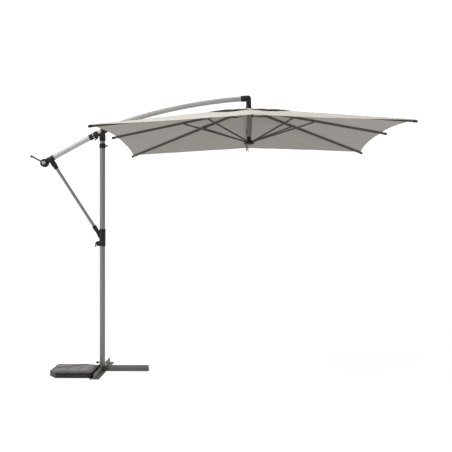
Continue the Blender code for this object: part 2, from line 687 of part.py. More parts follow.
def build_saddle():
    """The saddle that clamps the boom in two wraps and turns on the mast's head, and its lever."""
    wraps = []
    for label, low_x, high_x in (("rear", -0.081, -0.039), ("front", -0.010, 0.035)):
        low, high = boom_distance(low_x), boom_distance(high_x)
        frame = boom_frame((low + high) / 2.0)
        half = (high - low) / 2.0
        wraps.append(rod(f"saddle wrap {label}", BOOM_RADIUS + SADDLE_WALL, -half, half, BLACK_NYLON,
                         frame, SHAPES))
    low, high = boom_distance(-0.060), boom_distance(0.010)
    middle = boom_frame((low + high) / 2.0)
    half = (high - low) / 2.0
    keel = box("boom_saddle", (0.010, -0.0145, -half), (BOOM_RADIUS + SADDLE_WALL - 0.002, 0.0145, half),
               BLACK_NYLON, middle)
    cheeks = []
    inner = TONGUE_HALF + SWING
    root = boom_point(boom_distance(0.012))[0]
    for side, start in (("front", -inner - SADDLE_CHEEK), ("rear", inner)):
        outline = link_outline(in_plane(root.x, root.z - 0.006), in_plane(*BOOM_PIVOT), 0.022,
                               SADDLE_CHEEK_RADIUS)
        cheeks.append(plate(f"saddle cheek {side}", outline, start, start + SADDLE_CHEEK, BLACK_NYLON,
                            across((0, 0, 0)), SHAPES))
    underside = boom_frame(boom_distance(-0.060)) @ Vector((BOOM_RADIUS + SADDLE_WALL + 0.005, 0.0, 0.0))
    pivot = (underside.x, underside.z)
    above = (underside.x - 0.004, underside.z + 0.010)
    lugs, lug_bore = lever_lugs("saddle", pivot, above)
    tip = (pivot[0] - 0.0275, pivot[1] - 0.0220)
    join(keel, *wraps, *cheeks, *lugs)
    clear = bar_along("saddle bore", boom_run(boom_distance(-0.12), boom_distance(0.08), 7),
                      BOOM_RADIUS + BEND_ROOM, BLACK_NYLON, 6, SHAPES)
    turn = rod("saddle turning room", TONGUE_RADIUS + 0.0012, -inner, inner, BLACK_NYLON,
               across(at(BOOM_PIVOT)), SHAPES, 24)
    pin_hole = rod("saddle pin hole", PIN_RADIUS + GAP, -0.03, 0.03, BLACK_NYLON, across(at(BOOM_PIVOT)),
                   SHAPES, 16)
    swing_room = rod("saddle lever room", LEVER_RADIUS + SWING, -LEVER_HALF - SWING, LEVER_HALF + SWING,
                     BLACK_NYLON, across(at(pivot)), SHAPES, 20)
    cut(keel, clear, turn, pin_hole, lug_bore, swing_room)
    lever("saddle_lever", pivot, tip, BLACK_NYLON)
    reach = inner + SADDLE_CHEEK + 0.002
    turned("boom_pivot_pin", ((0.0, reach), (0.0065, reach), (0.0065, reach - 0.0015),
                              (PIN_RADIUS, reach - 0.0015), (PIN_RADIUS, -reach + 0.0015),
                              (0.0065, -reach + 0.0015), (0.0065, -reach), (0.0, -reach)), ZINC,
           across(at(BOOM_PIVOT)), sides=16, closed=False)


def build_crank():
    """The crank's housing and cover on the boom's tail, the rope drum, the arm and its grip."""
    centre = drum_centre()
    side = across(centre)
    seat = -HOUSING_HALF + 0.006
    along = boom_frame(-HOUSING_BACK)
    housing = rod("crank_housing", HOUSING_RADIUS, seat, HOUSING_HALF, BLACK_NYLON, side)
    sleeve_radius = BOOM_RADIUS + GAP + 0.0032
    sleeve = rod("housing sleeve", sleeve_radius, 0.020, HOUSING_SLEEVE_END, BLACK_NYLON, along, SHAPES)
    cover_room = rod("housing cover room", HOUSING_RADIUS + GAP, -0.060, seat + GAP, BLACK_NYLON, side,
                     SHAPES)
    cavity = rod("housing cavity", HOUSING_RADIUS - HOUSING_WALL, -0.060, HOUSING_HALF - HOUSING_WALL,
                 BLACK_NYLON, side, SHAPES)
    bore = rod("housing bore", BOOM_RADIUS + GAP, 0.0395, 0.150, BLACK_NYLON, along, SHAPES)
    rope_way = rod("housing rope way", 0.0165, 0.010, 0.060, BLACK_NYLON, along, SHAPES, 16)
    cut(join(housing, sleeve), cover_room, cavity, bore, rope_way)

    hole = AXLE_RADIUS + RUNNING
    cover_face = seat
    turned("crank_cover", ((hole, cover_face), (HOUSING_RADIUS, cover_face),
                           (HOUSING_RADIUS, -HOUSING_HALF + 0.002), (HOUSING_RADIUS - 0.002, -HOUSING_HALF),
                           (hole, -HOUSING_HALF)), BLACK_NYLON, side)
    drum_end = HOUSING_HALF - HOUSING_WALL - 0.001
    drum_start = seat + 0.001
    flange = 0.003
    axle_end = ARM_Y - ARM_THICK + 0.003
    turned("rope_drum", ((0.0, drum_end), (DRUM_FLANGE_RADIUS, drum_end),
                         (DRUM_FLANGE_RADIUS, drum_end - flange), (DRUM_RADIUS, drum_end - flange),
                         (DRUM_RADIUS, drum_start + flange), (DRUM_FLANGE_RADIUS, drum_start + flange),
                         (DRUM_FLANGE_RADIUS, drum_start), (AXLE_RADIUS, drum_start),
                         (AXLE_RADIUS, axle_end), (0.0, axle_end)), BLACK_NYLON, side, sides=24,
           closed=False)

    heading = math.radians(ARM_AZIMUTH)
    end = Vector((ARM_LENGTH * math.cos(heading), -ARM_LENGTH * math.sin(heading), 0.0))
    outline = link_outline((0.0, 0.0), end.to_2d(), ARM_END_RADIUS, ARM_END_RADIUS - 0.0005)
    arm = plate("crank_arm", outline, ARM_Y - ARM_THICK, ARM_Y, BLACK_NYLON, side)
    hub = rod("arm hub", ARM_HUB_RADIUS, ARM_Y - ARM_THICK - 0.002, -HOUSING_HALF - 0.001, BLACK_NYLON, side,
              SHAPES)
    at_end = side @ Matrix.Translation(end)
    grip_start = ARM_Y - ARM_THICK - RUNNING
    peg = rod("arm peg", PIN_RADIUS, grip_start - GRIP_LENGTH + 0.006, ARM_Y - 0.002, BLACK_NYLON, at_end,
              SHAPES, 16)
    axle_bore = rod("arm bore", AXLE_RADIUS + GAP, axle_end - GAP, 0.0, BLACK_NYLON, side, SHAPES, 24)
    cut(join(arm, hub, peg), axle_bore)
    grip_bore = PIN_RADIUS + RUNNING
    grip_end = grip_start - GRIP_LENGTH
    floor = grip_end + 0.005
    turned("crank_grip", ((0.0, floor), (grip_bore, floor), (grip_bore, grip_start),
                          (GRIP_RADIUS * 0.8, grip_start), (GRIP_RADIUS, grip_start - 0.004),
                          (GRIP_RADIUS, grip_end + 0.004), (GRIP_RADIUS * 0.75, grip_end),
                          (0.0, grip_end)), BLACK_NYLON, at_end, sides=20, closed=False)


def build_lift_rope():
    """The lifting rope, from the drum's top through the boom and the elbow to the pole's lower end."""
    tail, slope = boom_point(-HOUSING_BACK)
    offset = DRUM_RADIUS - HOUSING_DROP + ROPE_RADIUS + 0.001
    start = tail + slope_vector(slope + 90.0) * offset
    points = [tuple(start), tuple(start + slope_vector(slope) * 0.05)]
    points += boom_run(-0.36, boom_distance(ELBOW_BOOM_END - 0.012), 14)
    hub = hub_frame()
    radius = 0.014
    bend_top = hub @ Vector((-radius, 0.0, POLE_TOP + 0.010))
    for i in range(5):
        angle = math.pi / 2.0 * (1.0 - i / 4.0)
        points.append(tuple(bend_top + Vector((radius * math.cos(angle), 0.0, radius * math.sin(angle)))))
    points += [tuple(hub @ Vector((0.0, 0.0, z))) for z in (POLE_TOP - 0.02, -0.10, POLE_BOTTOM + 0.001)]
    bar_along("lift_rope", points, ROPE_RADIUS, ROPE)


# -------------------------------------------------------------------------------- collar and stay

def stay_vector():
    """The stay's whole length as a vector, from its pivot on the collar to the one at the boom."""
    return at(STAY_PIVOT) - at(COLLAR_PIVOT)


def build_collar():
    """The collar that slides on the mast, its clamping lever and the stay's lower pin."""
    top = COLLAR_Z + COLLAR_HEIGHT
    bore = MAST_RADIUS + RUNNING
    outer = bore + COLLAR_WALL
    collar = rod("slide_collar", outer, COLLAR_Z, top, BLACK_NYLON)
    block = box("collar block", (-BLOCK_REACH, -0.016, COLLAR_Z), (0.0, 0.016, COLLAR_Z + BLOCK_HEIGHT),
                BLACK_NYLON, group=SHAPES)
    ears = []
    inner = STAY_TONGUE_HALF + SWING
    root = in_plane(-0.012, COLLAR_PIVOT[1])
    for side, low in (("front", -inner - COLLAR_EAR_THICK), ("rear", inner)):
        outline = link_outline(root, in_plane(*COLLAR_PIVOT), COLLAR_EAR_RADIUS + 0.005, COLLAR_EAR_RADIUS)
        ears.append(plate(f"collar ear {side}", outline, low, low + COLLAR_EAR_THICK, BLACK_NYLON,
                          across((0, 0, 0)), SHAPES))
    pivot = (-BLOCK_REACH - LEVER_RADIUS - SWING, COLLAR_Z + 0.034)
    lugs, lug_bore = lever_lugs("collar", pivot, (-BLOCK_REACH + 0.004, pivot[1]))
    pin_hole = rod("collar pin hole", PIN_RADIUS + GAP, -0.03, 0.03, BLACK_NYLON,
                   across(at(COLLAR_PIVOT)), SHAPES, 16)
    mast_bore = rod("collar mast bore", bore, COLLAR_Z - 0.01, top + 0.01, BLACK_NYLON, group=SHAPES)
    cut(join(collar, block, *ears, *lugs), mast_bore, pin_hole, lug_bore)
    lever("collar_lever", pivot, (pivot[0] - 0.008, pivot[1] - 0.040), BLACK_NYLON)
    reach = inner + COLLAR_EAR_THICK + 0.002
    turned("stay_pin", ((0.0, reach), (0.0065, reach), (0.0065, reach - 0.0015),
                        (PIN_RADIUS, reach - 0.0015), (PIN_RADIUS, -reach + 0.0015),
                        (0.0065, -reach + 0.0015), (0.0065, -reach), (0.0, -reach)), ZINC,
           across(at(COLLAR_PIVOT)), sides=16, closed=False)


def build_stay():
    """The stay's tube with its lower sleeve and tongue and its upper fork."""
    length = stay_vector().length
    frame = frame_at(at(COLLAR_PIVOT), stay_vector())
    socket_end = length - FORK_YOKE_DROP - FORK_YOKE_THICK
    tube_start = STAY_SLEEVE_START + 0.016
    tube_end = socket_end - GAP
    tube("stay_tube", STAY_RADIUS, STAY_WALL, tube_start, tube_end, GREY_TUBE, frame, sides=24)
    bore = STAY_RADIUS + GAP

    sleeve_end = STAY_SLEEVE_START + STAY_SLEEVE_LENGTH
    foot = turned("stay_lower_sleeve",
                  ((0.0, tube_start - GAP), (bore, tube_start - GAP), (bore, sleeve_end),
                   (STAY_SLEEVE_RADIUS - 0.003, sleeve_end), (STAY_SLEEVE_RADIUS, sleeve_end - 0.004),
                   (STAY_SLEEVE_RADIUS, STAY_SLEEVE_START + 0.002),
                   (STAY_SLEEVE_RADIUS - 0.002, STAY_SLEEVE_START), (0.0, STAY_SLEEVE_START)),
                  BLACK_NYLON, frame, sides=28, closed=False)
    flat = frame @ Matrix.Rotation(math.pi / 2.0, 4, "X")
    tongue = plate("stay tongue", link_outline((0.0, 0.0), (0.0, STAY_SLEEVE_START + 0.004), 0.010, 0.0098),
                   -STAY_TONGUE_HALF, STAY_TONGUE_HALF, BLACK_NYLON, flat, SHAPES)
    tongue_trim = rod("stay tongue trim", 0.012, tube_start - GAP, tube_start + 0.02, BLACK_NYLON, frame,
                      SHAPES)
    pin_hole = rod("stay pin hole", PIN_RADIUS + RUNNING, -0.02, 0.02, BLACK_NYLON,
                   across(at(COLLAR_PIVOT)), SHAPES, 16)
    cut(join(foot, cut(tongue, tongue_trim)), pin_hole)

    socket_start = socket_end - FORK_SOCKET_LENGTH
    fork = turned("stay_upper_fork",
                  ((0.0, socket_end + 0.004), (STAY_SOCKET_RADIUS - 0.002, socket_end + 0.004),
                   (STAY_SOCKET_RADIUS, socket_end + 0.002), (STAY_SOCKET_RADIUS, socket_start + 0.004),
                   (STAY_SOCKET_RADIUS - 0.004, socket_start), (bore, socket_start), (bore, socket_end),
                   (0.0, socket_end)), BLACK_NYLON, frame, sides=28, closed=False)
    outside = FORK_CHEEK_Y + FORK_CHEEK_THICK
    yoke = box("fork yoke", (-0.012, -outside, socket_end + 0.001),
               (0.012, outside, socket_end + FORK_YOKE_THICK), BLACK_NYLON, frame, SHAPES)
    cheeks = []
    for side, low in (("front", FORK_CHEEK_Y), ("rear", -outside)):
        outline = link_outline((0.0, socket_end + 0.013), (0.0, length), 0.012, FORK_CHEEK_RADIUS)
        cheeks.append(plate(f"fork cheek {side}", outline, low, low + FORK_CHEEK_THICK, BLACK_NYLON, flat,
                            SHAPES))
    join(fork, yoke, *cheeks)


# ------------------------------------------------------------------------------- elbow and canopy

def elbow_centre():
    """The elbow's corner on the boom's centreline."""
    return boom_point(boom_distance(ELBOW_X))[0]


def hub_frame():
    """The hub's frame: the crown's pivot level on the pole's axis."""
    origin = (HUB_X, 0.0, elbow_centre().z - ELBOW_RISE)
    return Matrix.Translation(origin) @ Matrix.Rotation(math.radians(HUB_LEAN), 4, "Y")


def build_elbow():
    """The elbow at the boom's end, the pole that hangs in it and the cap disc over the cloth."""
    hub = hub_frame()
    start, end = boom_distance(ELBOW_ARM_START), boom_distance(ELBOW_X)
    arm_frame = boom_frame(start)
    foot = CROWN_TOP + 0.0025
    centre_z = (hub.inverted() @ elbow_centre()).z
    outer = BOOM_RADIUS + BEND_ROOM + SLEEVE_WALL
    elbow = rod("boom_elbow", ELBOW_LEG_RADIUS, foot, centre_z, BLACK_NYLON, hub)
    arm = rod("elbow arm", outer, 0.0, end - start, BLACK_NYLON, arm_frame, SHAPES)
    corner = ball("elbow corner", outer, elbow_centre(), SHAPES)
    disc = rod("elbow disc", CROWN_RADIUS, foot, foot + CAP_THICK, BLACK_NYLON, hub, SHAPES)
    boom_bore = rod("elbow boom bore", BOOM_RADIUS + BEND_ROOM, -0.02,
                    boom_distance(ELBOW_BOOM_END) + GAP - start, BLACK_NYLON, arm_frame, SHAPES)
    pole_bore = rod("elbow pole bore", POLE_RADIUS + GAP, 0.0, POLE_TOP + GAP, BLACK_NYLON, hub, SHAPES)
    bend_room = ball("elbow bend room", 0.018, hub @ Vector((-0.010, 0.0, POLE_TOP + 0.018)), SHAPES)
    rope_way = rod("elbow rope way", 0.009, POLE_TOP - 0.005, POLE_TOP + 0.020, BLACK_NYLON, hub, SHAPES, 24)
    cut(join(elbow, disc, arm, corner), boom_bore, pole_bore, bend_room, rope_way)
    tube("centre_pole", POLE_RADIUS, POLE_WALL, POLE_BOTTOM, POLE_TOP, GREY_TUBE, hub)


def rib_azimuth(index):
    """A rib's direction about the pole, in radians; even ribs run to a side, odd ones to a corner."""
    return 2.0 * math.pi * index / RIB_COUNT


def rib_reach(index):
    """A rib's tip: its distance from the pole's axis, and its drop below the pivots."""
    return (CORNER_REACH, CORNER_DROP) if index % 2 else (MID_REACH, MID_DROP)


def rib_slope(index):
    """A rib's angle below level, in radians, with the canopy open."""
    reach, drop = rib_reach(index)
    return math.atan2(drop, reach - RIB_PIVOT_RADIUS)


def rib_height(index, radius):
    """The level of a rib's centreline at this distance from the pole's axis."""
    return -(radius - RIB_PIVOT_RADIUS) * math.tan(rib_slope(index))


def radial_frame(index, origin, direction):
    """A frame in the upright plane of a rib: Z runs along direction, given as (outward, up)."""
    turn = hub_frame() @ Matrix.Rotation(rib_azimuth(index), 4, "Z")
    return turn @ frame_at((origin[0], origin[2], origin[1]), (direction[0], 0.0, direction[1]))


def channel_outline(width, height, wall):
    """A channel open downwards; +X is down in a radial frame."""
    half, top = width / 2.0, height / 2.0
    return ((-top, -half), (top, -half), (top, wall - half), (wall - top, wall - half),
            (wall - top, half - wall), (top, half - wall), (top, half), (-top, half))


def build_crown():
    """The crown ring with a slot for each rib."""
    hub = hub_frame()
    bore = POLE_RADIUS + GAP
    crown = turned("crown", ((bore, CROWN_TOP), (CROWN_RADIUS - 0.001, CROWN_TOP),
                             (CROWN_RADIUS, CROWN_TOP - 0.001), (CROWN_RADIUS, CROWN_BOTTOM),
                             (bore, CROWN_BOTTOM)), BLACK_NYLON, hub, sides=40)
    sweep = math.hypot(RIB_HEIGHT / 2.0, RIB_TAIL)
    inner = RIB_PIVOT_RADIUS - sweep - SWING
    half = RIB_WIDTH / 2.0 + SWING
    for i in range(RIB_COUNT):
        frame = hub @ Matrix.Rotation(rib_azimuth(i), 4, "Z")
        slot = box(f"crown slot {i + 1}", (inner, -half, CROWN_BOTTOM - 0.01),
                   (0.06, half, CROWN_TOP - CROWN_PLATE), BLACK_NYLON, frame, SHAPES)
        cut(crown, slot)


def build_ribs():
    """The eight ribs and the eight stretchers, each beside its rib."""
    rib_shape = channel_outline(RIB_WIDTH, RIB_HEIGHT, RIB_WALL)
    arm_shape = channel_outline(STRETCHER_WIDTH, STRETCHER_HEIGHT, STRETCHER_WALL)
    for i, side in enumerate(RIB_SIDES):
        reach, drop = rib_reach(i)
        length = math.hypot(reach - RIB_PIVOT_RADIUS, drop)
        frame = radial_frame(i, (RIB_PIVOT_RADIUS, 0.0, 0.0), (reach - RIB_PIVOT_RADIUS, -drop))
        plate(f"rib_{side}", rib_shape, -RIB_TAIL, length, DARK_STEEL, frame)
        out = STRETCHER_REACH - RUNNER_PIVOT_RADIUS
        rise = rib_height(i, STRETCHER_REACH) - RUNNER_PIVOT_Z
        frame = radial_frame(i, (RUNNER_PIVOT_RADIUS, RUNNER_PIVOT_Z, STRETCHER_OFFSET), (out, rise))
        plate(f"stretcher_{side}", arm_shape, -STRETCHER_TAIL, math.hypot(out, rise) + STRETCHER_TAIL,
              DARK_STEEL, frame)


def build_runner():
    """The bell-shaped runner that lifts the stretchers, and the rope's tail with its knot."""
    hub = hub_frame()
    bore = POLE_RADIUS + RUNNING
    neck = bore + RUNNER_NECK
    bottom = RUNNER_TOP - RUNNER_DEPTH
    rope_bore = TAIL_RADIUS + 0.001
    socket_floor = POLE_BOTTOM - 0.010
    flare = []
    for i in range(FLARE_STEPS + 1):
        share = i / FLARE_STEPS
        curve = 1.0 - math.cos(share * math.pi / 2.0)
        flare.append((neck + (RUNNER_RADIUS - neck) * curve,
                      RUNNER_TOP - 0.013 - (RUNNER_TOP - 0.013 - RUNNER_RIM_Z) * math.sin(share * math.pi / 2.0)))
    profile = ((bore, RUNNER_TOP), (neck, RUNNER_TOP), *flare, (RUNNER_RADIUS, RUNNER_RIM_Z - RUNNER_RIM),
               (RUNNER_RADIUS * 0.88, bottom + 0.004), (RUNNER_RADIUS * 0.55, bottom + 0.001),
               (rope_bore + 0.004, bottom), (rope_bore, bottom), (rope_bore, socket_floor),
               (bore, socket_floor))
    runner = turned("runner", profile, BLACK_NYLON, hub, sides=40)
    sweep = math.hypot(STRETCHER_HEIGHT / 2.0, STRETCHER_TAIL)
    inner = RUNNER_PIVOT_RADIUS - sweep - SWING
    half = STRETCHER_WIDTH / 2.0 + SWING
    for i in range(RIB_COUNT):
        frame = hub @ Matrix.Rotation(rib_azimuth(i), 4, "Z")
        slot = box(f"runner slot {i + 1}", (inner, STRETCHER_OFFSET - half, RUNNER_PIVOT_Z - sweep - SWING),
                   (0.07, STRETCHER_OFFSET + half, 0.0), BLACK_NYLON, frame, SHAPES)
        cut(runner, slot)
    tail = [tuple(hub @ Vector((x, 0.0, z))) for x, z in TAIL_POINTS]
    bar_along("rope_tail", tail, TAIL_RADIUS, ROPE, 2)
    x, z = TAIL_POINTS[-1]
    turned("rope_knot", ((0.0, -GAP), (KNOT_RADIUS * 0.6, -GAP), (KNOT_RADIUS, -KNOT_RADIUS),
                         (KNOT_RADIUS * 0.6, -KNOT_RADIUS * 2.0), (0.0, -KNOT_RADIUS * 2.0)), ROPE,
           hub @ Matrix.Translation((x, 0.0, z)), sides=12, closed=False)


def cloth_point(sector, across_share, out_share, hem_mid, hem_corner, scallop, lift, hole):
    """A point of the cloth between a side rib and a corner rib.

    sector counts the eight half-sides; across_share runs from the side rib to the corner rib and
    out_share from the inner edge to the hem.
    """
    side_index = 2 * ((sector + 1) // 2)
    corner_index = sector if sector % 2 else sector + 1
    scalloped = 1.0 - scallop * 4.0 * across_share * (1.0 - across_share)
    ends = []
    for index, hem, inner in ((side_index, hem_mid, hole),
                              (corner_index, hem_corner * math.sqrt(2.0), hole * math.sqrt(2.0))):
        radius = inner + (hem * scalloped - inner) * out_share
        angle = rib_azimuth(index)
        height = rib_height(index, radius) + CLOTH_ABOVE_RIB + lift * out_share
        ends.append(Vector((radius * math.cos(angle), radius * math.sin(angle), height)))
    return ends[0].lerp(ends[1], across_share)


def cloth(name, hem_mid, hem_corner, scallop, lift, hole, rows, columns):
    """A square of cloth over the ribs with a square hole in its middle."""
    grid = bmesh.new()
    for sector in range(RIB_COUNT):
        lattice = [[grid.verts.new(cloth_point(sector, j / columns, i / rows, hem_mid, hem_corner, scallop,
                                               lift, hole)) for j in range(columns + 1)]
                   for i in range(rows + 1)]
        for inner, outer in zip(lattice, lattice[1:]):
            for j in range(columns):
                grid.faces.new((inner[j], outer[j], outer[j + 1], inner[j + 1]))
    bmesh.ops.remove_doubles(grid, verts=grid.verts, dist=0.00001)
    bmesh.ops.recalc_face_normals(grid, faces=grid.faces)
    if sum(face.normal.z for face in grid.faces) < 0.0:
        bmesh.ops.reverse_faces(grid, faces=grid.faces)
    mesh = bpy.data.meshes.new(name)
    grid.to_mesh(mesh)
    grid.free()
    obj = shade(add_object(name, mesh, hub_frame(), CLOTH))
    shell = obj.modifiers.new("Cloth", "SOLIDIFY")
    shell.thickness = CLOTH_THICK
    shell.offset = 1.0
    return obj


def build_cloth():
    """The canopy and the vent cap that covers its middle opening."""
    cloth("canopy", HEM_MID, HEM_CORNER, HEM_SCALLOP, 0.0, VENT_HALF, 6, 4)
    cloth("vent_cap", CAP_HALF, CAP_HALF, 0.0, CAP_LIFT, CROWN_RADIUS + CAP_MARGIN, 3, 4)


build_foot()
build_slab()
build_mast()
build_boom_tubes()
build_saddle()
build_crank()
build_lift_rope()
build_collar()
build_stay()
build_elbow()
build_crown()
build_ribs()
build_runner()
build_cloth()
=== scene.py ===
"""Cantilever parasol: the finishes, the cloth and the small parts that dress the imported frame.

Metres, +Z up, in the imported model's own frame: the origin is the mast's axis on the ground, +X points
at the canopy and +Y to the rear. The canopy, its ribs and the runner are laid out in the hub's frame,
whose origin is the ribs' pivot level on the pole's axis and whose Z runs up the pole.
"""

import logging
import math
from collections.abc import Callable, Iterable, Sequence
from dataclasses import dataclass, replace
from enum import Enum

import bmesh
import bpy
from mathutils import Matrix, Vector, noise


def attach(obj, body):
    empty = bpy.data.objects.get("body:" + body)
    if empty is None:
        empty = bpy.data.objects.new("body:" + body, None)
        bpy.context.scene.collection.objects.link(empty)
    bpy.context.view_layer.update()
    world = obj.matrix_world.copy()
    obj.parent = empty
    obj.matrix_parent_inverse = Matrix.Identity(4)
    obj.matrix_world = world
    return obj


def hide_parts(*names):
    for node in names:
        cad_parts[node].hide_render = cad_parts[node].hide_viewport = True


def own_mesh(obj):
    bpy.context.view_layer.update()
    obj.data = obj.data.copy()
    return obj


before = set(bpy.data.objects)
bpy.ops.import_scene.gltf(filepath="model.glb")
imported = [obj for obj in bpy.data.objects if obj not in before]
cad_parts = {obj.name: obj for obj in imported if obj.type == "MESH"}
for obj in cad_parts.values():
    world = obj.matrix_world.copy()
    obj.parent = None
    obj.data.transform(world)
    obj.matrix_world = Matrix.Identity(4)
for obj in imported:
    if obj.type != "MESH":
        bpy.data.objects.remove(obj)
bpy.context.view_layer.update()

LOG = logging.getLogger("parasol")
RIB_SIDES = ("right", "rear_right", "rear", "rear_left", "left", "front_left", "front", "front_right")
IDENTITY = Matrix.Identity(4)
UP = (0.0, 0.0, 1.0)
OUT = (1.0, 0.0, 0.0)
BOTH_SIDES = (-1.0, 1.0)
QUARTER = math.pi / 2.0
DIAGONAL = math.sqrt(2.0)
WINCH_BACK = 0.500  # how far behind the bend the winch sits on the boom

Pair = tuple[float, float]
Profile = Sequence[Pair]
Tree = bpy.types.NodeTree
Node = bpy.types.Node
Socket = bpy.types.NodeSocket


# ---- finishes

def linear(hex_colour: str) -> tuple[float, float, float, float]:
    """Turns an sRGB hex colour into linear red, green, blue and alpha.

    Args:
        hex_colour: six hex digits after a hash.

    Returns:
        Four numbers from 0 to 1.
    """
    channels = [int(hex_colour[i:i + 2], 16) / 255.0 for i in (1, 3, 5)]
    red, green, blue = (c / 12.92 if c <= 0.04045 else ((c + 0.055) / 1.055) ** 2.4 for c in channels)
    return (red, green, blue, 1.0)


def add_node(tree: Tree, kind: str, inputs: dict | None = None, **settings) -> Node:
    """Adds a node with its settings, its values and its links.

    Args:
        tree: the material's node tree.
        kind: the shader node's type, without its common first word.
        inputs: what goes to each input, by name or index: a value, or another node's output.
        settings: the node's own properties.

    Returns:
        The new node.
    """
    made = tree.nodes.new("ShaderNode" + kind)
    for name, value in settings.items():
        setattr(made, name, value)
    for key, value in (inputs or {}).items():
        if isinstance(value, Socket):
            tree.links.new(value, made.inputs[key])
        else:
            made.inputs[key].default_value = value
    return made


class Slot(Enum):
    """The record's material slots."""

    TUBE = "silver_tube"
    DARK_STEEL = "dark_steel"
    FOOT_STEEL = "foot_steel"
    ZINC = "zinc"
    NYLON = "black_nylon"
    SHELL = "slab_shell"
    CONCRETE = "concrete"
    CLOTH = "cloth"
    ROPE = "rope"


@dataclass(frozen=True)
class Finish:
    """A material that is made once and shared by every piece that wears it."""

    title: str
    slot: Slot
    colour: str
    roughness: float

    def material(self) -> bpy.types.Material:
        """Makes the material, or returns the one already made.

        Returns:
            The material.
        """
        ready = bpy.data.materials.get(self.title)
        if ready is not None:
            return ready
        made = bpy.data.materials.new(self.title)
        made.use_nodes = True
        shader = made.node_tree.nodes["Principled BSDF"]
        shader.inputs["Base Color"].default_value = linear(self.colour)
        shader.inputs["Roughness"].default_value = self.roughness
        self.wire(made.node_tree, shader)
        return made

    def wire(self, tree: Tree, shader: Node) -> None:
        """Adds the finish's own pattern nodes to a Principled shader."""
        raise NotImplementedError

    def mottle(self, tree: Tree, shader: Node, place: Socket,
               other: str, patch: float, share: float) -> Node:
        """Drifts the colour towards another one in soft patches.

        Args:
            tree: the material's node tree.
            shader: its Principled shader.
            place: the coordinates, in metres.
            other: the colour that the patches drift to.
            patch: the patches' width in metres.
            share: how far they drift, from 0 to 1.

        Returns:
            The node that mixes the two colours.
        """
        cloud = add_node(tree, "TexNoise",
                         {"Vector": place, "Scale": 1.0 / patch, "Detail": 4.0, "Roughness": 0.6})
        drift = add_node(tree, "MapRange", {"Value": cloud.outputs["Fac"], "From Min": 0.35,
                                                      "From Max": 0.7, "To Max": share})
        mixed = add_node(tree, "Mix", {0: drift.outputs["Result"], 6: linear(self.colour),
                                                 7: linear(other)}, data_type="RGBA")
        tree.links.new(mixed.outputs[2], shader.inputs["Base Color"])
        return mixed

    def press(self, tree: Tree, shader: Node, height: Socket, strength: float, depth: float,
              invert: bool = False) -> None:
        """Presses a pattern into the surface."""
        relief = add_node(tree, "Bump", {"Height": height, "Strength": strength, "Distance": depth},
                          invert=invert)
        tree.links.new(relief.outputs["Normal"], shader.inputs["Normal"])

    def polish(self, tree: Tree, shader: Node, pattern: Socket, glossier: float, rougher: float,
               low: float = 0.0, high: float = 1.0) -> None:
        """Varies the gloss with a pattern."""
        gloss = add_node(tree, "MapRange", {"Value": pattern, "From Min": low, "From Max": high,
                                            "To Min": self.roughness - glossier,
                                            "To Max": self.roughness + rougher})
        tree.links.new(gloss.outputs["Result"], shader.inputs["Roughness"])


@dataclass(frozen=True)
class PowderCoat(Finish):
    """Polyester powder baked onto metal: satin, with the slight ripple that the melt leaves."""

    dust: str
    metallic: float
    ripple: float  # metres from crest to crest
    depth: float  # metres from trough to crest

    def wire(self, tree: Tree, shader: Node) -> None:
        """The melt's ripple in the relief, and a breath of dust in the colour and the gloss.

        Args:
            tree: the material\'s node tree.
            shader: its Principled shader.
        """
        place = add_node(tree, "TexCoord").outputs["Object"]
        self.mottle(tree, shader, place, self.dust, 0.16, 0.5)
        # Real ripple is 0.8 to 1.5 mm from crest to crest; on the tubes it is drawn at 3 mm so that it shows.
        ripple = add_node(tree, "TexNoise",
                          {"Vector": place, "Scale": 1.0 / self.ripple, "Detail": 2.0})
        self.press(tree, shader, ripple.outputs["Fac"], 0.35, self.depth)
        handled = add_node(tree, "TexNoise", {"Vector": place, "Scale": 28.0, "Detail": 3.0})
        self.polish(tree, shader, handled.outputs["Fac"], 0.07, 0.08)
        shader.inputs["Metallic"].default_value = self.metallic


@dataclass(frozen=True)
class MouldedNylon(Finish):
    """Glass-filled nylon from a spark-eroded mould: a fine even grain, rubbed glossier where it is held."""

    bloom: str
    grain: float

    def wire(self, tree: Tree, shader: Node) -> None:
        """The mould's grain in the relief, and glass bloom in the colour.

        Args:
            tree: the material\'s node tree.
            shader: its Principled shader.
        """
        place = add_node(tree, "TexCoord").outputs["Object"]
        self.mottle(tree, shader, place, self.bloom, 0.035, 0.45)
        # Spark erosion leaves pits of 0.1 to 0.3 mm, drawn at 0.8 mm so that they show.
        grain = add_node(tree, "TexNoise",
                         {"Vector": place, "Scale": 1.0 / self.grain, "Detail": 2.0, "Roughness": 0.7})
        self.press(tree, shader, grain.outputs["Fac"], 0.4, 0.00025)
        rubbed = add_node(tree, "TexNoise", {"Vector": place, "Scale": 40.0, "Detail": 3.0})
        self.polish(tree, shader, rubbed.outputs["Fac"], 0.09, 0.08, 0.3, 0.7)
        shader.inputs["Specular IOR Level"].default_value = 0.3


@dataclass(frozen=True)
class ZincPlate(Finish):
    """Steel turned or pressed and then zinc plated: bright, with a faint crystalline patchwork."""

    tarnish: str

    def wire(self, tree: Tree, shader: Node) -> None:
        """The plating's crystals in the gloss, and tarnish in the colour.

        Args:
            tree: the material\'s node tree.
            shader: its Principled shader.
        """
        place = add_node(tree, "TexCoord").outputs["Object"]
        self.mottle(tree, shader, place, self.tarnish, 0.02, 0.6)
        # Crystals of about 2 mm.
        crystal = add_node(tree, "TexVoronoi", {"Vector": place, "Scale": 500.0})
        self.polish(tree, shader, crystal.outputs["Distance"], 0.06, 0.12)
        shader.inputs["Metallic"].default_value = 1.0


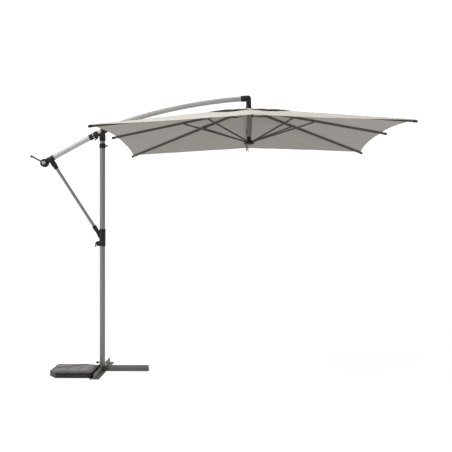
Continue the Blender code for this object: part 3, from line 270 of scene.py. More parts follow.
@dataclass(frozen=True)
class Canvas(Finish):
    """Plain-woven polyester canvas, solution dyed: matt, with slubs and a faint sheen at the rim."""

    slub: str
    thread: float  # metres from thread to thread

    def wire(self, tree: Tree, shader: Node) -> None:
        """Warp over weft in the relief, and thicker threads in the colour.

        Args:
            tree: the material\'s node tree.
            shader: its Principled shader.
        """
        place = add_node(tree, "TexCoord").outputs["Object"]
        base = self.mottle(tree, shader, place, self.slub, 0.09, 0.55)
        # Threads of 0.5 mm are drawn 2 mm apart, so that the weave shows.
        across = [add_node(tree, "TexWave",
                           {"Vector": place, "Scale": 1.0 / (self.thread * 3.1831), "Distortion": 0.4,
                            "Detail": 1.0, "Detail Scale": 2.0}, bands_direction=axis) for axis in "XY"]
        weave = add_node(tree, "Math", {0: across[0].outputs["Fac"], 1: across[1].outputs["Fac"]},
                         operation="MULTIPLY")
        self.press(tree, shader, weave.outputs["Value"], 0.3, 0.0004)
        # Slubs run 30 to 60 mm along the weft.
        stretched = add_node(tree, "Mapping", {"Vector": place, "Scale": (18.0, 700.0, 40.0)})
        slubs = add_node(tree, "TexNoise", {"Vector": stretched.outputs["Vector"], "Scale": 1.0,
                                                      "Detail": 1.0})
        streak = add_node(tree, "MapRange", {"Value": slubs.outputs["Fac"], "From Min": 0.55,
                                                       "From Max": 0.75, "To Max": 0.35})
        threads = add_node(tree, "Mix", {0: streak.outputs["Result"], 6: base.outputs[2],
                                                   7: linear(self.slub)}, data_type="RGBA")
        tree.links.new(threads.outputs[2], shader.inputs["Base Color"])
        shader.inputs["Sheen Weight"].default_value = 0.12
        shader.inputs["Sheen Roughness"].default_value = 0.5


@dataclass(frozen=True)
class Polyethylene(Finish):
    """Blow-moulded polyethylene: waxy, a little uneven where the wall cooled, grey with dust and painted top
    light on top.
    """

    dust: str

    def wire(self, tree: Tree, shader: Node) -> None:
        """Dust and painted top light on the faces that look up, cooling waves and the mould's blasted grain
        in the relief.

        Args:
            tree: the material\'s node tree.
            shader: its Principled shader.
        """
        place = add_node(tree, "TexCoord").outputs["Object"]
        base = self.mottle(tree, shader, place, self.dust, 0.05, 0.06)
        # Faces that look up drift up to 0.62 of the way to the pale grey: partly dust, partly painted top
        # light for the sky's glare on the top.
        up = add_node(tree, "SeparateXYZ",
                      {"Vector": add_node(tree, "NewGeometry").outputs["Normal"]})
        dust_and_painted_top_light = add_node(tree, "MapRange", {"Value": up.outputs["Z"], "From Min": 0.55,
                                                        "From Max": 0.98, "To Max": 0.62})
        top = add_node(tree, "Mix", {0: dust_and_painted_top_light.outputs["Result"], 6: base.outputs[2],
                                               7: linear(self.dust)}, data_type="RGBA")
        tree.links.new(top.outputs[2], shader.inputs["Base Color"])
        # Cooling waves are 20 to 30 mm long. The blasted grain of 0.3 mm is drawn 1 mm across.
        waves = add_node(tree, "TexNoise", {"Vector": place, "Scale": 40.0, "Detail": 1.0})
        grain = add_node(tree, "TexNoise", {"Vector": place, "Scale": 900.0, "Detail": 2.0})
        soft = add_node(tree, "Bump", {"Height": waves.outputs["Fac"], "Strength": 0.3,
                                                 "Distance": 0.002})
        relief = add_node(tree, "Bump", {"Height": grain.outputs["Fac"], "Strength": 0.35,
                                                   "Distance": 0.0003, "Normal": soft.outputs["Normal"]})
        tree.links.new(relief.outputs["Normal"], shader.inputs["Normal"])
        shader.inputs["Specular IOR Level"].default_value = 0.3


@dataclass(frozen=True)
class CastConcrete(Finish):
    """Concrete poured into the shell: pale, with dark fines and air holes."""

    fines: str

    def wire(self, tree: Tree, shader: Node) -> None:
        """Fines in the colour and air holes of about 4 mm in the relief.

        Args:
            tree: the material\'s node tree.
            shader: its Principled shader.
        """
        place = add_node(tree, "TexCoord").outputs["Object"]
        self.mottle(tree, shader, place, self.fines, 0.012, 0.8)
        holes = add_node(tree, "TexVoronoi", {"Vector": place, "Scale": 250.0})
        self.press(tree, shader, holes.outputs["Distance"], 0.6, 0.001)


@dataclass(frozen=True)
class BraidedRope(Finish):
    """Sixteen-plait polyester rope: strands crossing in diamonds."""

    shade: str

    def wire(self, tree: Tree, shader: Node) -> None:
        """The strands' crossings in the relief and their shade in the colour.

        Args:
            tree: the material\'s node tree.
            shader: its Principled shader.
        """
        place = add_node(tree, "TexCoord").outputs["Object"]
        base = self.mottle(tree, shader, place, self.shade, 0.006, 0.5)
        # Strands of about 1.6 mm.
        plait = add_node(tree, "TexVoronoi", {"Vector": place, "Scale": 620.0},
                         distance="CHEBYCHEV")
        self.press(tree, shader, plait.outputs["Distance"], 0.8, 0.0008, invert=True)
        tree.links.new(base.outputs[2], shader.inputs["Base Color"])


# Drawn aluminium tube under silver-grey powder: a satin metal glow with soft highlights.
TUBE = PowderCoat("Silver powder-coated aluminium", Slot.TUBE, "#7B7B7A", 0.46, "#878683", 0.32, 0.0030,
                  0.00005)
# The boom's tubes wear the mast's powder coat painted a shade lighter: painted top light, standing in for the
# light from above that falls on them.
BOOM_TUBE_PAINTED_TOP_LIGHT = PowderCoat("Light silver powder-coated aluminium", Slot.TUBE, "#A6A6A4", 0.44, "#B0B0AD", 0.32,
                       0.0030, 0.00005)
# Rolled steel channel under brown-grey powder: satin, nearly black in the shade.
CHANNEL = PowderCoat("Dark grey powder-coated channel", Slot.DARK_STEEL, "#57524C", 0.50, "#655F57", 0.1,
                     0.0012, 0.00012)
# Hot-rolled angle under thick grey powder: matt and slightly pebbled.
ANGLE = PowderCoat("Grey powder-coated angle", Slot.FOOT_STEEL, "#6C6C6B", 0.55, "#7A7976", 0.1, 0.0020,
                   0.00025)
# Moulded black nylon, as on every clamp, sleeve and lever.
NYLON = MouldedNylon("Black glass-filled nylon", Slot.NYLON, "#161617", 0.46, "#222222", 0.0008)
# The crank's cap is moulded in grey from the same nylon.
GREY_NYLON = MouldedNylon("Grey glass-filled nylon", Slot.NYLON, "#9C9C9A", 0.46, "#A8A7A3", 0.0008)
# The crank's arm and grip are a darker grey of it.
ARM_NYLON = MouldedNylon("Dark grey glass-filled nylon", Slot.NYLON, "#5B5B5A", 0.48, "#6A6A68", 0.0008)
# Zinc-plated bolts, pins and rivets.
ZINC = ZincPlate("Zinc-plated steel", Slot.ZINC, "#B9BAB8", 0.34, "#8F8D86")
# The canopy's face: cream canvas.
FACE = Canvas("Cream polyester canvas", Slot.CLOTH, "#E2DDD4", 0.86, "#D6D0C5", 0.0020)
# The canvas's underside is the cream canvas painted darker and a little smoother: painted shade, standing in
# for the shade that the underside lies in.
UNDERSIDE_PAINTED_SHADE = Canvas("Canvas underside with painted shade", Slot.CLOTH, "#857E77", 0.74, "#78716B", 0.0020)
# The bought-in rope.
ROPE = BraidedRope("Braided polyester rope", Slot.ROPE, "#C9C3B6", 0.85, "#A39D90")
# Bonded thread, in the canvas's colour.
THREAD = BraidedRope("Bonded polyester thread", Slot.CLOTH, "#CFC8BA", 0.6, "#B5AD9E")
# The slab's shell. Its last colour lightens the faces that look up: partly dust, partly painted top light.
SHELL = Polyethylene("Black blow-moulded polyethylene", Slot.SHELL, "#161617", 0.50, "#8E8D8A")
CONCRETE = CastConcrete("Cast concrete", Slot.CONCRETE, "#A19E97", 0.92, "#716E68")


# ---- geometry

def at(point: Pair, y: float = 0.0) -> Vector:
    """A point given as (x, z), as a vector at this y."""
    return Vector((point[0], y, point[1]))


def frame_at(origin: Vector | Sequence[float], z_axis: Vector | Sequence[float],
             y_axis: Vector | Sequence[float] = (0.0, 1.0, 0.0)) -> Matrix:
    """A frame whose Z runs along one direction and whose Y stays near another.

    Args:
        origin: where it stands.
        z_axis: where its Z points.
        y_axis: the direction that its Y stays near.

    Returns:
        The frame's matrix.
    """
    z_unit = Vector(z_axis).normalized()
    x_unit = Vector(y_axis).cross(z_unit).normalized()
    y_unit = z_unit.cross(x_unit)
    return Matrix.Translation(Vector(origin)) @ Matrix((x_unit, y_unit, z_unit)).transposed().to_4x4()


def across(origin: Vector | Sequence[float]) -> Matrix:
    """A frame whose Z runs along +Y, with X along +X and Y down."""
    return frame_at(origin, (0.0, 1.0, 0.0), (0.0, 0.0, -1.0))


def slope_vector(degrees: float) -> Vector:
    """The unit vector in the plane y = 0 that climbs at this angle towards +X."""
    return Vector((math.cos(math.radians(degrees)), 0.0, math.sin(math.radians(degrees))))


def smooth_step(value: float) -> float:
    """Eases from 0 to 1 as value goes from 0 to 1."""
    share = min(1.0, max(0.0, value))
    return share * share * (3.0 - 2.0 * share)


def rounded(outline: Sequence[Pair], radius: float, steps: int = 4) -> list[Pair]:
    """Rounds the corners of a closed outline.

    Args:
        outline: its corners in order.
        radius: the most that a corner is rounded by; a short side allows less.
        steps: how many pieces each corner's arc has.

    Returns:
        The rounded outline.
    """
    points: list[Pair] = []
    count = len(outline)
    for i in range(count):
        before, corner, after = (Vector(outline[j % count]) for j in (i - 1, i, i + 1))
        to_before, to_after = before - corner, after - corner
        bend = to_before.angle(to_after)
        setback = min(radius / math.tan(bend / 2.0), to_before.length * 0.45, to_after.length * 0.45)
        first, last = corner + to_before.normalized() * setback, corner + to_after.normalized() * setback
        for k in range(steps + 1):
            share = k / steps
            point = first.lerp(corner, share).lerp(corner.lerp(last, share), share)
            points.append((point.x, point.y))
    return points


def mirrored(half: Profile, middle: float = 0.0) -> Profile:
    """The profile that starts with this half and goes back through its mirror image below the middle."""
    return (*half, *((radius, 2.0 * middle - z) for radius, z in reversed(half)))


def link_outline(start: Pair, end: Pair, start_radius: float, end_radius: float,
                 steps: int = 16) -> list[Pair]:
    """The outline of a link: a round end at each point, joined by tangent sides.

    Args:
        start: the first end's centre.
        end: the other end's centre.
        start_radius: the first end's radius.
        end_radius: the other end's radius.
        steps: how many pieces each end has.

    Returns:
        The outline.
    """
    run = Vector(end) - Vector(start)
    heading = math.atan2(run.y, run.x)
    spread = math.acos((start_radius - end_radius) / run.length)
    outline = []
    for centre, radius, first, last in ((end, end_radius, -spread, spread),
                                        (start, start_radius, spread, 2.0 * math.pi - spread)):
        for i in range(steps + 1):
            angle = heading + first + (last - first) * i / steps
            outline.append((centre[0] + radius * math.cos(angle), centre[1] + radius * math.sin(angle)))
    return outline


class Draft:
    """A mesh in the making, in the row frame."""

    def __init__(self) -> None:
        """Starts with nothing in it."""
        self.grid = bmesh.new()

    def vert(self, place: Sequence[float]) -> bmesh.types.BMVert:
        """Adds a vertex."""
        return self.grid.verts.new(place)

    def face(self, corners: Sequence[bmesh.types.BMVert]) -> bmesh.types.BMFace:
        """Adds a face."""
        return self.grid.faces.new(corners)

    @classmethod
    def of_node(cls, name: str) -> "Draft":
        """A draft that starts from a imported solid, its facets joined into whole faces.

        Args:
            name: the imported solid.

        Returns:
            The draft.
        """
        draft = cls()
        draft.grid.from_mesh(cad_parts[name].data)
        bmesh.ops.remove_doubles(draft.grid, verts=draft.grid.verts, dist=0.00001)
        bmesh.ops.dissolve_limit(draft.grid, angle_limit=math.radians(0.6), verts=draft.grid.verts,
                                 edges=draft.grid.edges)
        return draft

    def lathe(self, profile: Profile, matrix: Matrix = IDENTITY, sides: int = 64, closed: bool = False,
              lobes: int = 0, lobe_depth: float = 0.0, twist: float = 0.0) -> "Draft":
        """Turns a profile about the Z of matrix.

        Args:
            profile: pairs of radius and z.
            matrix: the frame it is turned in.
            sides: how many sides the turning has.
            closed: whether the last pair joins the first, as round a bore.
            lobes: how many finger lobes the widest part has.
            lobe_depth: how deep they are, as a share of the radius.
            twist: the angle in radians where the first side starts.

        Returns:
            The draft.
        """
        widest = max(radius for radius, _ in profile)
        rings = []
        for radius, z in profile:
            if radius < 1e-6:
                rings.append([self.vert(matrix @ Vector((0.0, 0.0, z)))])
                continue
            ring = []
            for i in range(sides):
                angle = twist + 2.0 * math.pi * i / sides
                reach = radius
                if lobes and radius > widest * 0.7:
                    reach *= 1.0 - lobe_depth * (0.5 - 0.5 * math.cos(lobes * angle))
                ring.append(self.vert(matrix @ Vector((reach * math.cos(angle),
                                                                 reach * math.sin(angle), z))))
            rings.append(ring)
        pairs = list(zip(rings, rings[1:]))
        if closed:
            pairs.append((rings[-1], rings[0]))
        for first, second in pairs:
            for i in range(sides):
                j = (i + 1) % sides
                around = [first[i % len(first)], first[j % len(first)], second[j % len(second)],
                          second[i % len(second)]]
                corners = list(dict.fromkeys(around))
                if len(corners) > 2:
                    self.face(corners)
        return self

    def tube(self, radius: float, wall: float, start: float, end: float, matrix: Matrix = IDENTITY,
             sides: int = 64) -> "Draft":
        """A straight tube along the Z of matrix, its cut ends eased by a third of the wall.

        Args:
            radius: its outer radius.
            wall: its wall.
            start: where it starts.
            end: where it ends.
            matrix: the frame it is drawn in.
            sides: how many sides it has.

        Returns:
            The draft.
        """
        inner, ease = radius - wall, wall / 3.0
        profile = ((inner, end), (radius - ease, end), (radius, end - ease), (radius, start + ease),
                   (radius - ease, start), (inner, start))
        return self.lathe(profile, matrix, sides, closed=True)

    def prism(self, outline: Sequence[Pair], low: float, high: float, matrix: Matrix = IDENTITY,
              edge: float = 0.0, segments: int = 2) -> "Draft":
        """Extrudes an outline along the Z of matrix.

        Args:
            outline: pairs of x and y.
            low: where it starts.
            high: where it ends.
            matrix: the frame it is drawn in.
            edge: how far its two rims are rounded.
            segments: how many facets each rounding has.

        Returns:
            The draft.
        """
        rings = [[self.vert(matrix @ Vector((x, y, z))) for x, y in outline] for z in (low, high)]
        count = len(outline)
        for i in range(count):
            j = (i + 1) % count
            self.face((rings[0][i], rings[0][j], rings[1][j], rings[1][i]))
        lids = [self.face(list(reversed(rings[0]))), self.face(rings[1])]
        if edge > 0.0:
            rims = [rim for lid in lids for rim in lid.edges]
            bmesh.ops.bevel(self.grid, geom=rims, offset=edge, segments=segments, profile=0.5,
                            affect="EDGES", clamp_overlap=True)
        return self

    def block(self, low: Sequence[float], high: Sequence[float], matrix: Matrix = IDENTITY,
              corner: float = 0.002, edge: float = 0.0008) -> "Draft":
        """A block between two corners in the frame of matrix, its upright corners and rims rounded."""
        outline = ((low[0], low[1]), (high[0], low[1]), (high[0], high[1]), (low[0], high[1]))
        return self.prism(rounded(outline, corner), low[2], high[2], matrix, edge)

    def sweep(self, points: Sequence[Vector], radius: float, sides: int = 24, wall: float = 0.0) -> "Draft":
        """A round bar that follows points, or a tube where it has a wall.

        Args:
            points: the centreline.
            radius: the outer radius.
            sides: how many sides it has.
            wall: the tube's wall, or 0 for a solid bar.

        Returns:
            The draft.
        """
        spots = [Vector(p) for p in points]
        count = len(spots)
        tangents = [(spots[min(i + 1, count - 1)] - spots[max(i - 1, 0)]).normalized()
                    for i in range(count)]
        side = tangents[0].orthogonal().normalized()
        frames = []
        for spot, tangent in zip(spots, tangents):
            side = (side - tangent * side.dot(tangent)).normalized()
            frames.append((spot, side, tangent.cross(side)))

        def ring(which: int, reach: float) -> list[bmesh.types.BMVert]:
            """The section's points at one of the centreline's points."""
            spot, first, second = frames[which]
            return [self.vert(spot + (first * math.cos(2.0 * math.pi * i / sides)
                                                + second * math.sin(2.0 * math.pi * i / sides)) * reach)
                    for i in range(sides)]

        outer = [ring(i, radius) for i in range(count)]
        loops = outer + [ring(i, radius - wall) for i in reversed(range(count))] if wall else outer
        pairs = list(zip(loops, loops[1:])) + ([(loops[-1], loops[0])] if wall else [])
        for first, second in pairs:
            for i in range(sides):
                j = (i + 1) % sides
                self.face((first[i], first[j], second[j], second[i]))
        if not wall:
            self.face(list(reversed(outer[0])))
            self.face(outer[-1])
        return self

    def soften(self, radius: float, degrees: float = 35.0, segments: int = 2) -> "Draft":
        """Rounds every edge that is sharper than this angle, as a mould or a tumbler does.

        Args:
            radius: how far each is rounded.
            degrees: the angle.
            segments: how many facets each rounding has.

        Returns:
            The draft.
        """
        sharp = [edge for edge in self.grid.edges
                 if edge.is_manifold and edge.calc_face_angle(0.0) > math.radians(degrees)]
        bmesh.ops.bevel(self.grid, geom=sharp, offset=radius, segments=segments, profile=0.5,
                        affect="EDGES", clamp_overlap=True)
        return self

    def bolt(self, matrix: Matrix, across_flats: float, height: float) -> "Draft":
        """A hexagon head on its washer, standing on the origin of matrix.

        Args:
            matrix: where it stands and points.
            across_flats: its size across the flats.
            height: how high its top is.

        Returns:
            The draft.
        """
        reach = across_flats / math.sqrt(3.0)
        washer = across_flats * 0.62
        self.lathe(((0.0, 0.0012), (washer - 0.0004, 0.0012), (washer, 0.0008), (washer, 0.0), (0.0, 0.0)),
                   matrix, 32)
        return self.lathe(((0.0, height), (reach * 0.82, height), (reach, height * 0.82), (reach, 0.0012),
                           (0.0, 0.0012)), matrix, 6)

    def rivet(self, matrix: Matrix, radius: float, height: float) -> "Draft":
        """A domed rivet head standing on the origin of matrix."""
        dome = [(radius * math.cos(a), height * math.sin(a))
                for a in (math.pi / 2.0 * i / 6.0 for i in range(6, -1, -1))]
        return self.lathe([(0.0, height), *dome[1:], (radius, -0.0006), (0.0, -0.0006)], matrix, 24)

    def screw(self, matrix: Matrix, radius: float, height: float) -> "Draft":
        """A pan-head screw with a round drive recess, standing on the origin of matrix."""
        recess = radius * 0.45
        return self.lathe(((0.0, height * 0.35), (recess * 0.8, height * 0.35), (recess, height * 0.95),
                           (radius * 0.75, height), (radius * 0.95, height * 0.7), (radius, height * 0.3),
                           (radius, -0.0006), (0.0, -0.0006)), matrix, 24)

    def band(self, base: float, crest: float, levels: Sequence[float], matrix: Matrix = IDENTITY,
             sides: int = 72) -> "Draft":
        """A raised ring around the Z of matrix."""
        radii = (base, crest, crest, base)
        return self.lathe(tuple(zip(radii, levels)), matrix, sides, closed=True)

    def cheeks(self, outline: Sequence[Pair], inner: float, outer: float, edge: float) -> "Draft":
        """Two upright plates, one on each side of the plane y = 0."""
        for low, high in ((-outer, -inner), (inner, outer)):
            self.prism(outline, low, high, across((0.0, 0.0, 0.0)), edge, 2)
        return self

    def rivet_pair(self, point: Pair, out: float, radius: float, height: float) -> "Draft":
        """A domed head on each side of the plane y = 0."""
        for side in BOTH_SIDES:
            self.rivet(frame_at(at(point, side * out), (0.0, side, 0.0), UP), radius, height)
        return self

    def mesh(self, name: str, degrees: float = 38.0) -> bpy.types.Mesh:
        """Closes the draft: its faces look out, and it is smooth but for edges over this angle.

        Args:
            name: the mesh's name.
            degrees: the angle.

        Returns:
            The mesh.
        """
        bmesh.ops.recalc_face_normals(self.grid, faces=self.grid.faces)
        mesh = bpy.data.meshes.new(name)
        self.grid.to_mesh(mesh)
        self.grid.free()
        mesh.shade_smooth()
        mesh.set_sharp_from_angle(angle=math.radians(degrees))
        return mesh


def fit(name: str, mesh: bpy.types.Mesh, finish: Finish, body: str, replaces: Iterable[str] = (),
        matrix: Matrix = IDENTITY) -> bpy.types.Object:
    """Puts a finished piece on its body.

    Args:
        name: the piece's name.
        mesh: its shape.
        finish: what it is made of.
        body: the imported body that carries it.
        replaces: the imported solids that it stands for.
        matrix: where its own frame is.

    Returns:
        The piece.
    """
    obj = bpy.data.objects.new(name, mesh)
    bpy.context.scene.collection.objects.link(obj)
    obj.matrix_world = matrix
    obj.data.materials.append(finish.material())
    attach(obj, body)
    if replaces:
        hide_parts(*replaces)
    LOG.info("%s: %d faces on %s", name, len(mesh.polygons), body)
    return obj


def mould(node: str, body: str, finish: Finish = NYLON, edge: float = 0.0008,
          extra: Callable[[Draft], None] | None = None) -> bpy.types.Object:
    """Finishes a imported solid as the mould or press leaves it, with eased edges.

    Args:
        node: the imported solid.
        body: the body that carries it.
        finish: what it is made of.
        edge: how far its edges are rounded.
        extra: adds more to the draft after the edges are eased.

    Returns:
        The piece, which stands for the solid.
    """
    draft = Draft.of_node(node)
    if edge > 0.0:
        draft.soften(edge)
    if extra is not None:
        extra(draft)
    return fit(f"{node}_moulded", draft.mesh(node), finish, body, (node,))


def turned_pin(node: str, body: str, pivot: Pair, cover: float) -> bpy.types.Object:
    """A pin across the plane y = 0, turned with eased ends and just short of the cheeks over it.

    Args:
        node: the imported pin.
        body: the body that carries it.
        pivot: its axis, as x and z.
        cover: how far from the plane the cheeks reach.

    Returns:
        The piece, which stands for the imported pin.
    """
    ease = 0.0006
    radius, reach = 0.0028, cover - ease
    upper = ((0.0, reach), (radius - ease, reach), (radius, reach - ease))
    draft = Draft().lathe(mirrored(upper), across(at(pivot)), 32)
    return fit(f"{node}_turned", draft.mesh(node.replace("_", " ")), ZINC, body, (node,))


# ---- layout

@dataclass(frozen=True)
class BoomLine:
    """The boom's centreline in the plane y = 0: a straight tail, two arcs and a straight tip."""

    start: Pair = (-0.100, 2.1644)
    tail_slope: float = 28.44
    bends: tuple[Pair, ...] = ((16.0, 2.17), (4.5, 4.80))  # the slope each arc ends at, and its radius

    def point(self, distance: float) -> tuple[Vector, float]:
        """A point of the centreline.

        Args:
            distance: metres beyond the start of the bend.

        Returns:
            The point, and the slope there in degrees.
        """
        place, slope = at(self.start), self.tail_slope
        if distance <= 0.0:
            return place + slope_vector(slope) * distance, slope
        for end_slope, radius in self.bends:
            arc = radius * math.radians(slope - end_slope)
            turned = math.degrees(min(distance, arc) / radius)
            chord = 2.0 * radius * math.sin(math.radians(turned / 2.0))
            place = place + slope_vector(slope - turned / 2.0) * chord
            slope -= turned
            distance -= arc
            if distance <= 0.0:
                return place, slope
        return place + slope_vector(slope) * distance, slope

    def distance(self, x: float) -> float:
        """How far beyond the start of the bend the centreline reaches this x.

        Args:
            x: the x to reach.

        Returns:
            The distance.
        """
        low, high = -1.0, 3.0
        for _ in range(50):
            middle = (low + high) / 2.0
            low, high = (middle, high) if self.point(middle)[0].x < x else (low, middle)
        return low

    def frame(self, distance: float) -> Matrix:
        """A frame on the centreline whose Z runs along the boom and whose X points down."""
        place, slope = self.point(distance)
        return frame_at(place, slope_vector(slope))

    def run(self, start: float, end: float, count: int) -> list[Vector]:
        """Evenly spaced centreline points from one distance to another."""
        return [self.point(start + (end - start) * i / (count - 1))[0] for i in range(count)]


@dataclass(frozen=True)
class Hub:
    """The ribs' pivot level on the pole's axis, and how the ribs fan out from it."""

    boom: BoomLine = BoomLine()
    x: float = 1.356
    lean: float = -0.8
    elbow_setback: float = 0.007
    elbow_rise: float = 0.1087
    pivot_radius: float = 0.035
    mid_reach: float = 1.270
    corner_reach: float = 1.270 * 1.392
    mid_fall: float = 0.19514
    corner_fall: float = 0.17163

    def elbow(self) -> Vector:
        """The elbow's corner on the boom's centreline."""
        return self.boom.point(self.boom.distance(self.x - self.elbow_setback))[0]

    def frame(self) -> Matrix:
        """The hub's frame in the row frame."""
        origin = (self.x, 0.0, self.elbow().z - self.elbow_rise)
        return Matrix.Translation(origin) @ Matrix.Rotation(math.radians(self.lean), 4, "Y")

    def azimuth(self, index: float) -> float:
        """A rib's direction about the pole, in radians."""
        return math.pi / 4.0 * index

    def reach(self, index: int) -> float:
        """How far out a rib's tip is."""
        return self.corner_reach if index % 2 else self.mid_reach

    def fall(self, index: int) -> float:
        """A rib's drop for each metre outwards."""
        return self.corner_fall if index % 2 else self.mid_fall

    def height(self, index: int, radius: float) -> float:
        """The level of a rib's centreline this far out."""
        return -(radius - self.pivot_radius) * self.fall(index)

    def radial(self, index: int, out: float, up: float, aside: float, heading: Pair) -> Matrix:
        """A frame in a rib's upright plane."""
        turn = self.frame() @ Matrix.Rotation(self.azimuth(index), 4, "Z")
        return turn @ frame_at((out, aside, up), (heading[0], 0.0, heading[1]))


# ---- foot

@dataclass
class Foot:
    """The cross of steel legs: each leg is two angles back to back, tied by brackets and bolts."""

    reach: float = 0.432
    flange: float = 0.045
    flange_thick: float = 0.003
    web: float = 0.050
    web_thick: float = 0.00195
    bend: float = 0.003
    gap: float = 0.0003
    plate_side: float = 0.072
    plate_thick: float = 0.005
    bracket_thick: float = 0.003
    bolt_flats: float = 0.010
    bolt_height: float = 0.0055
    bolt_out: float = 0.031
    spigot: tuple[float, float, float] = (0.0225, 0.002, 0.300)  # radius, wall, height

    def angle_outline(self, side: float) -> list[Pair]:
        """One angle's section: X across, Y up.

        Args:
            side: 1 or -1, the side of the leg's middle that it lies on.

        Returns:
            The section.
        """
        near, far = 0.00005, self.flange
        corners = ((near, 0.0), (far, 0.0), (far, self.flange_thick),
                   (near + self.web_thick, self.flange_thick), (near + self.web_thick, self.web),
                   (near, self.web))
        section = rounded(corners, self.bend * 0.45, 3)
        return section if side > 0.0 else [(-x, y) for x, y in reversed(section)]

    def leg(self, name: str, node: str, heading: Sequence[float], start: float, end: float,
            web_start: float) -> None:
        """One leg or bar.

        Args:
            name: the piece's name.
            node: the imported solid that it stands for.
            heading: where the leg runs.
            start: where its flanges start.
            end: where it ends.
            web_start: where its webs start.
        """
        draft = Draft()
        stand = frame_at((0.0, 0.0, 0.0), heading, UP)
        for side in BOTH_SIDES:
            draft.prism(self.angle_outline(side), start, end, stand, 0.0004, 1)
            if web_start < start - 0.001:
                inner, outer = 0.00005, self.web_thick
                low, high = self.flange_thick + self.gap, self.web
                draft.block((min(side * inner, side * outer), low, web_start),
                            (max(side * inner, side * outer), high, start + 0.002), stand, 0.0004, 0.0003)
        fit(name, draft.mesh(name), ANGLE, "foot", (node,))

    def bolts(self) -> None:
        """Bolts and nuts through the webs at each bracket, and the plate's four screws."""
        draft = Draft()
        head = (self.bolt_flats, self.bolt_height)
        face = 0.002 + self.gap + self.bracket_thick
        for sign in BOTH_SIDES:
            for side in BOTH_SIDES:
                out = sign * self.bolt_out
                draft.bolt(frame_at((out, side * face, 0.035), (0.0, side, 0.0), UP), *head)
                draft.bolt(frame_at((side * face, out, 0.019), (side, 0.0, 0.0), UP), *head)
        inset = self.plate_side / 2.0 - 0.009
        top = self.web + self.gap + self.plate_thick
        for x in (-inset, inset):
            for y in (-inset, inset):
                draft.bolt(Matrix.Translation((x, y, top)), *head)
        fit("foot_bolts", draft.mesh("foot bolts"), ZINC, "foot")

    def plate(self) -> None:
        """The plate and the spigot that the mast turns on."""
        low = self.web + self.gap
        high = low + self.plate_thick
        half = self.plate_side / 2.0
        draft = Draft().block((-half, -half, low), (half, half, high), IDENTITY, 0.007, 0.0006)
        radius, wall, height = self.spigot
        draft.tube(radius, wall, high - 0.001, high + height)
        fit("foot_plate_welded", draft.mesh("foot plate"), ZINC, "foot", ("foot_plate",))

    def build(self) -> None:
        """Builds the whole foot."""
        self.leg("foot_long_angles", "foot_long_bar", (0.0, -1.0, 0.0), -self.reach, self.reach,
                 -self.reach)
        for side, heading in (("right", 1.0), ("left", -1.0)):
            self.leg(f"foot_angles_{side}", f"foot_leg_{side}", (heading, 0.0, 0.0),
                     self.flange + self.gap, self.reach, 0.0023)
        for end in ("front", "rear"):
            for side in ("left", "right"):
                mould(f"foot_bracket_{end}_{side}", "foot", CHANNEL, 0.0005)
        self.plate()
        self.bolts()


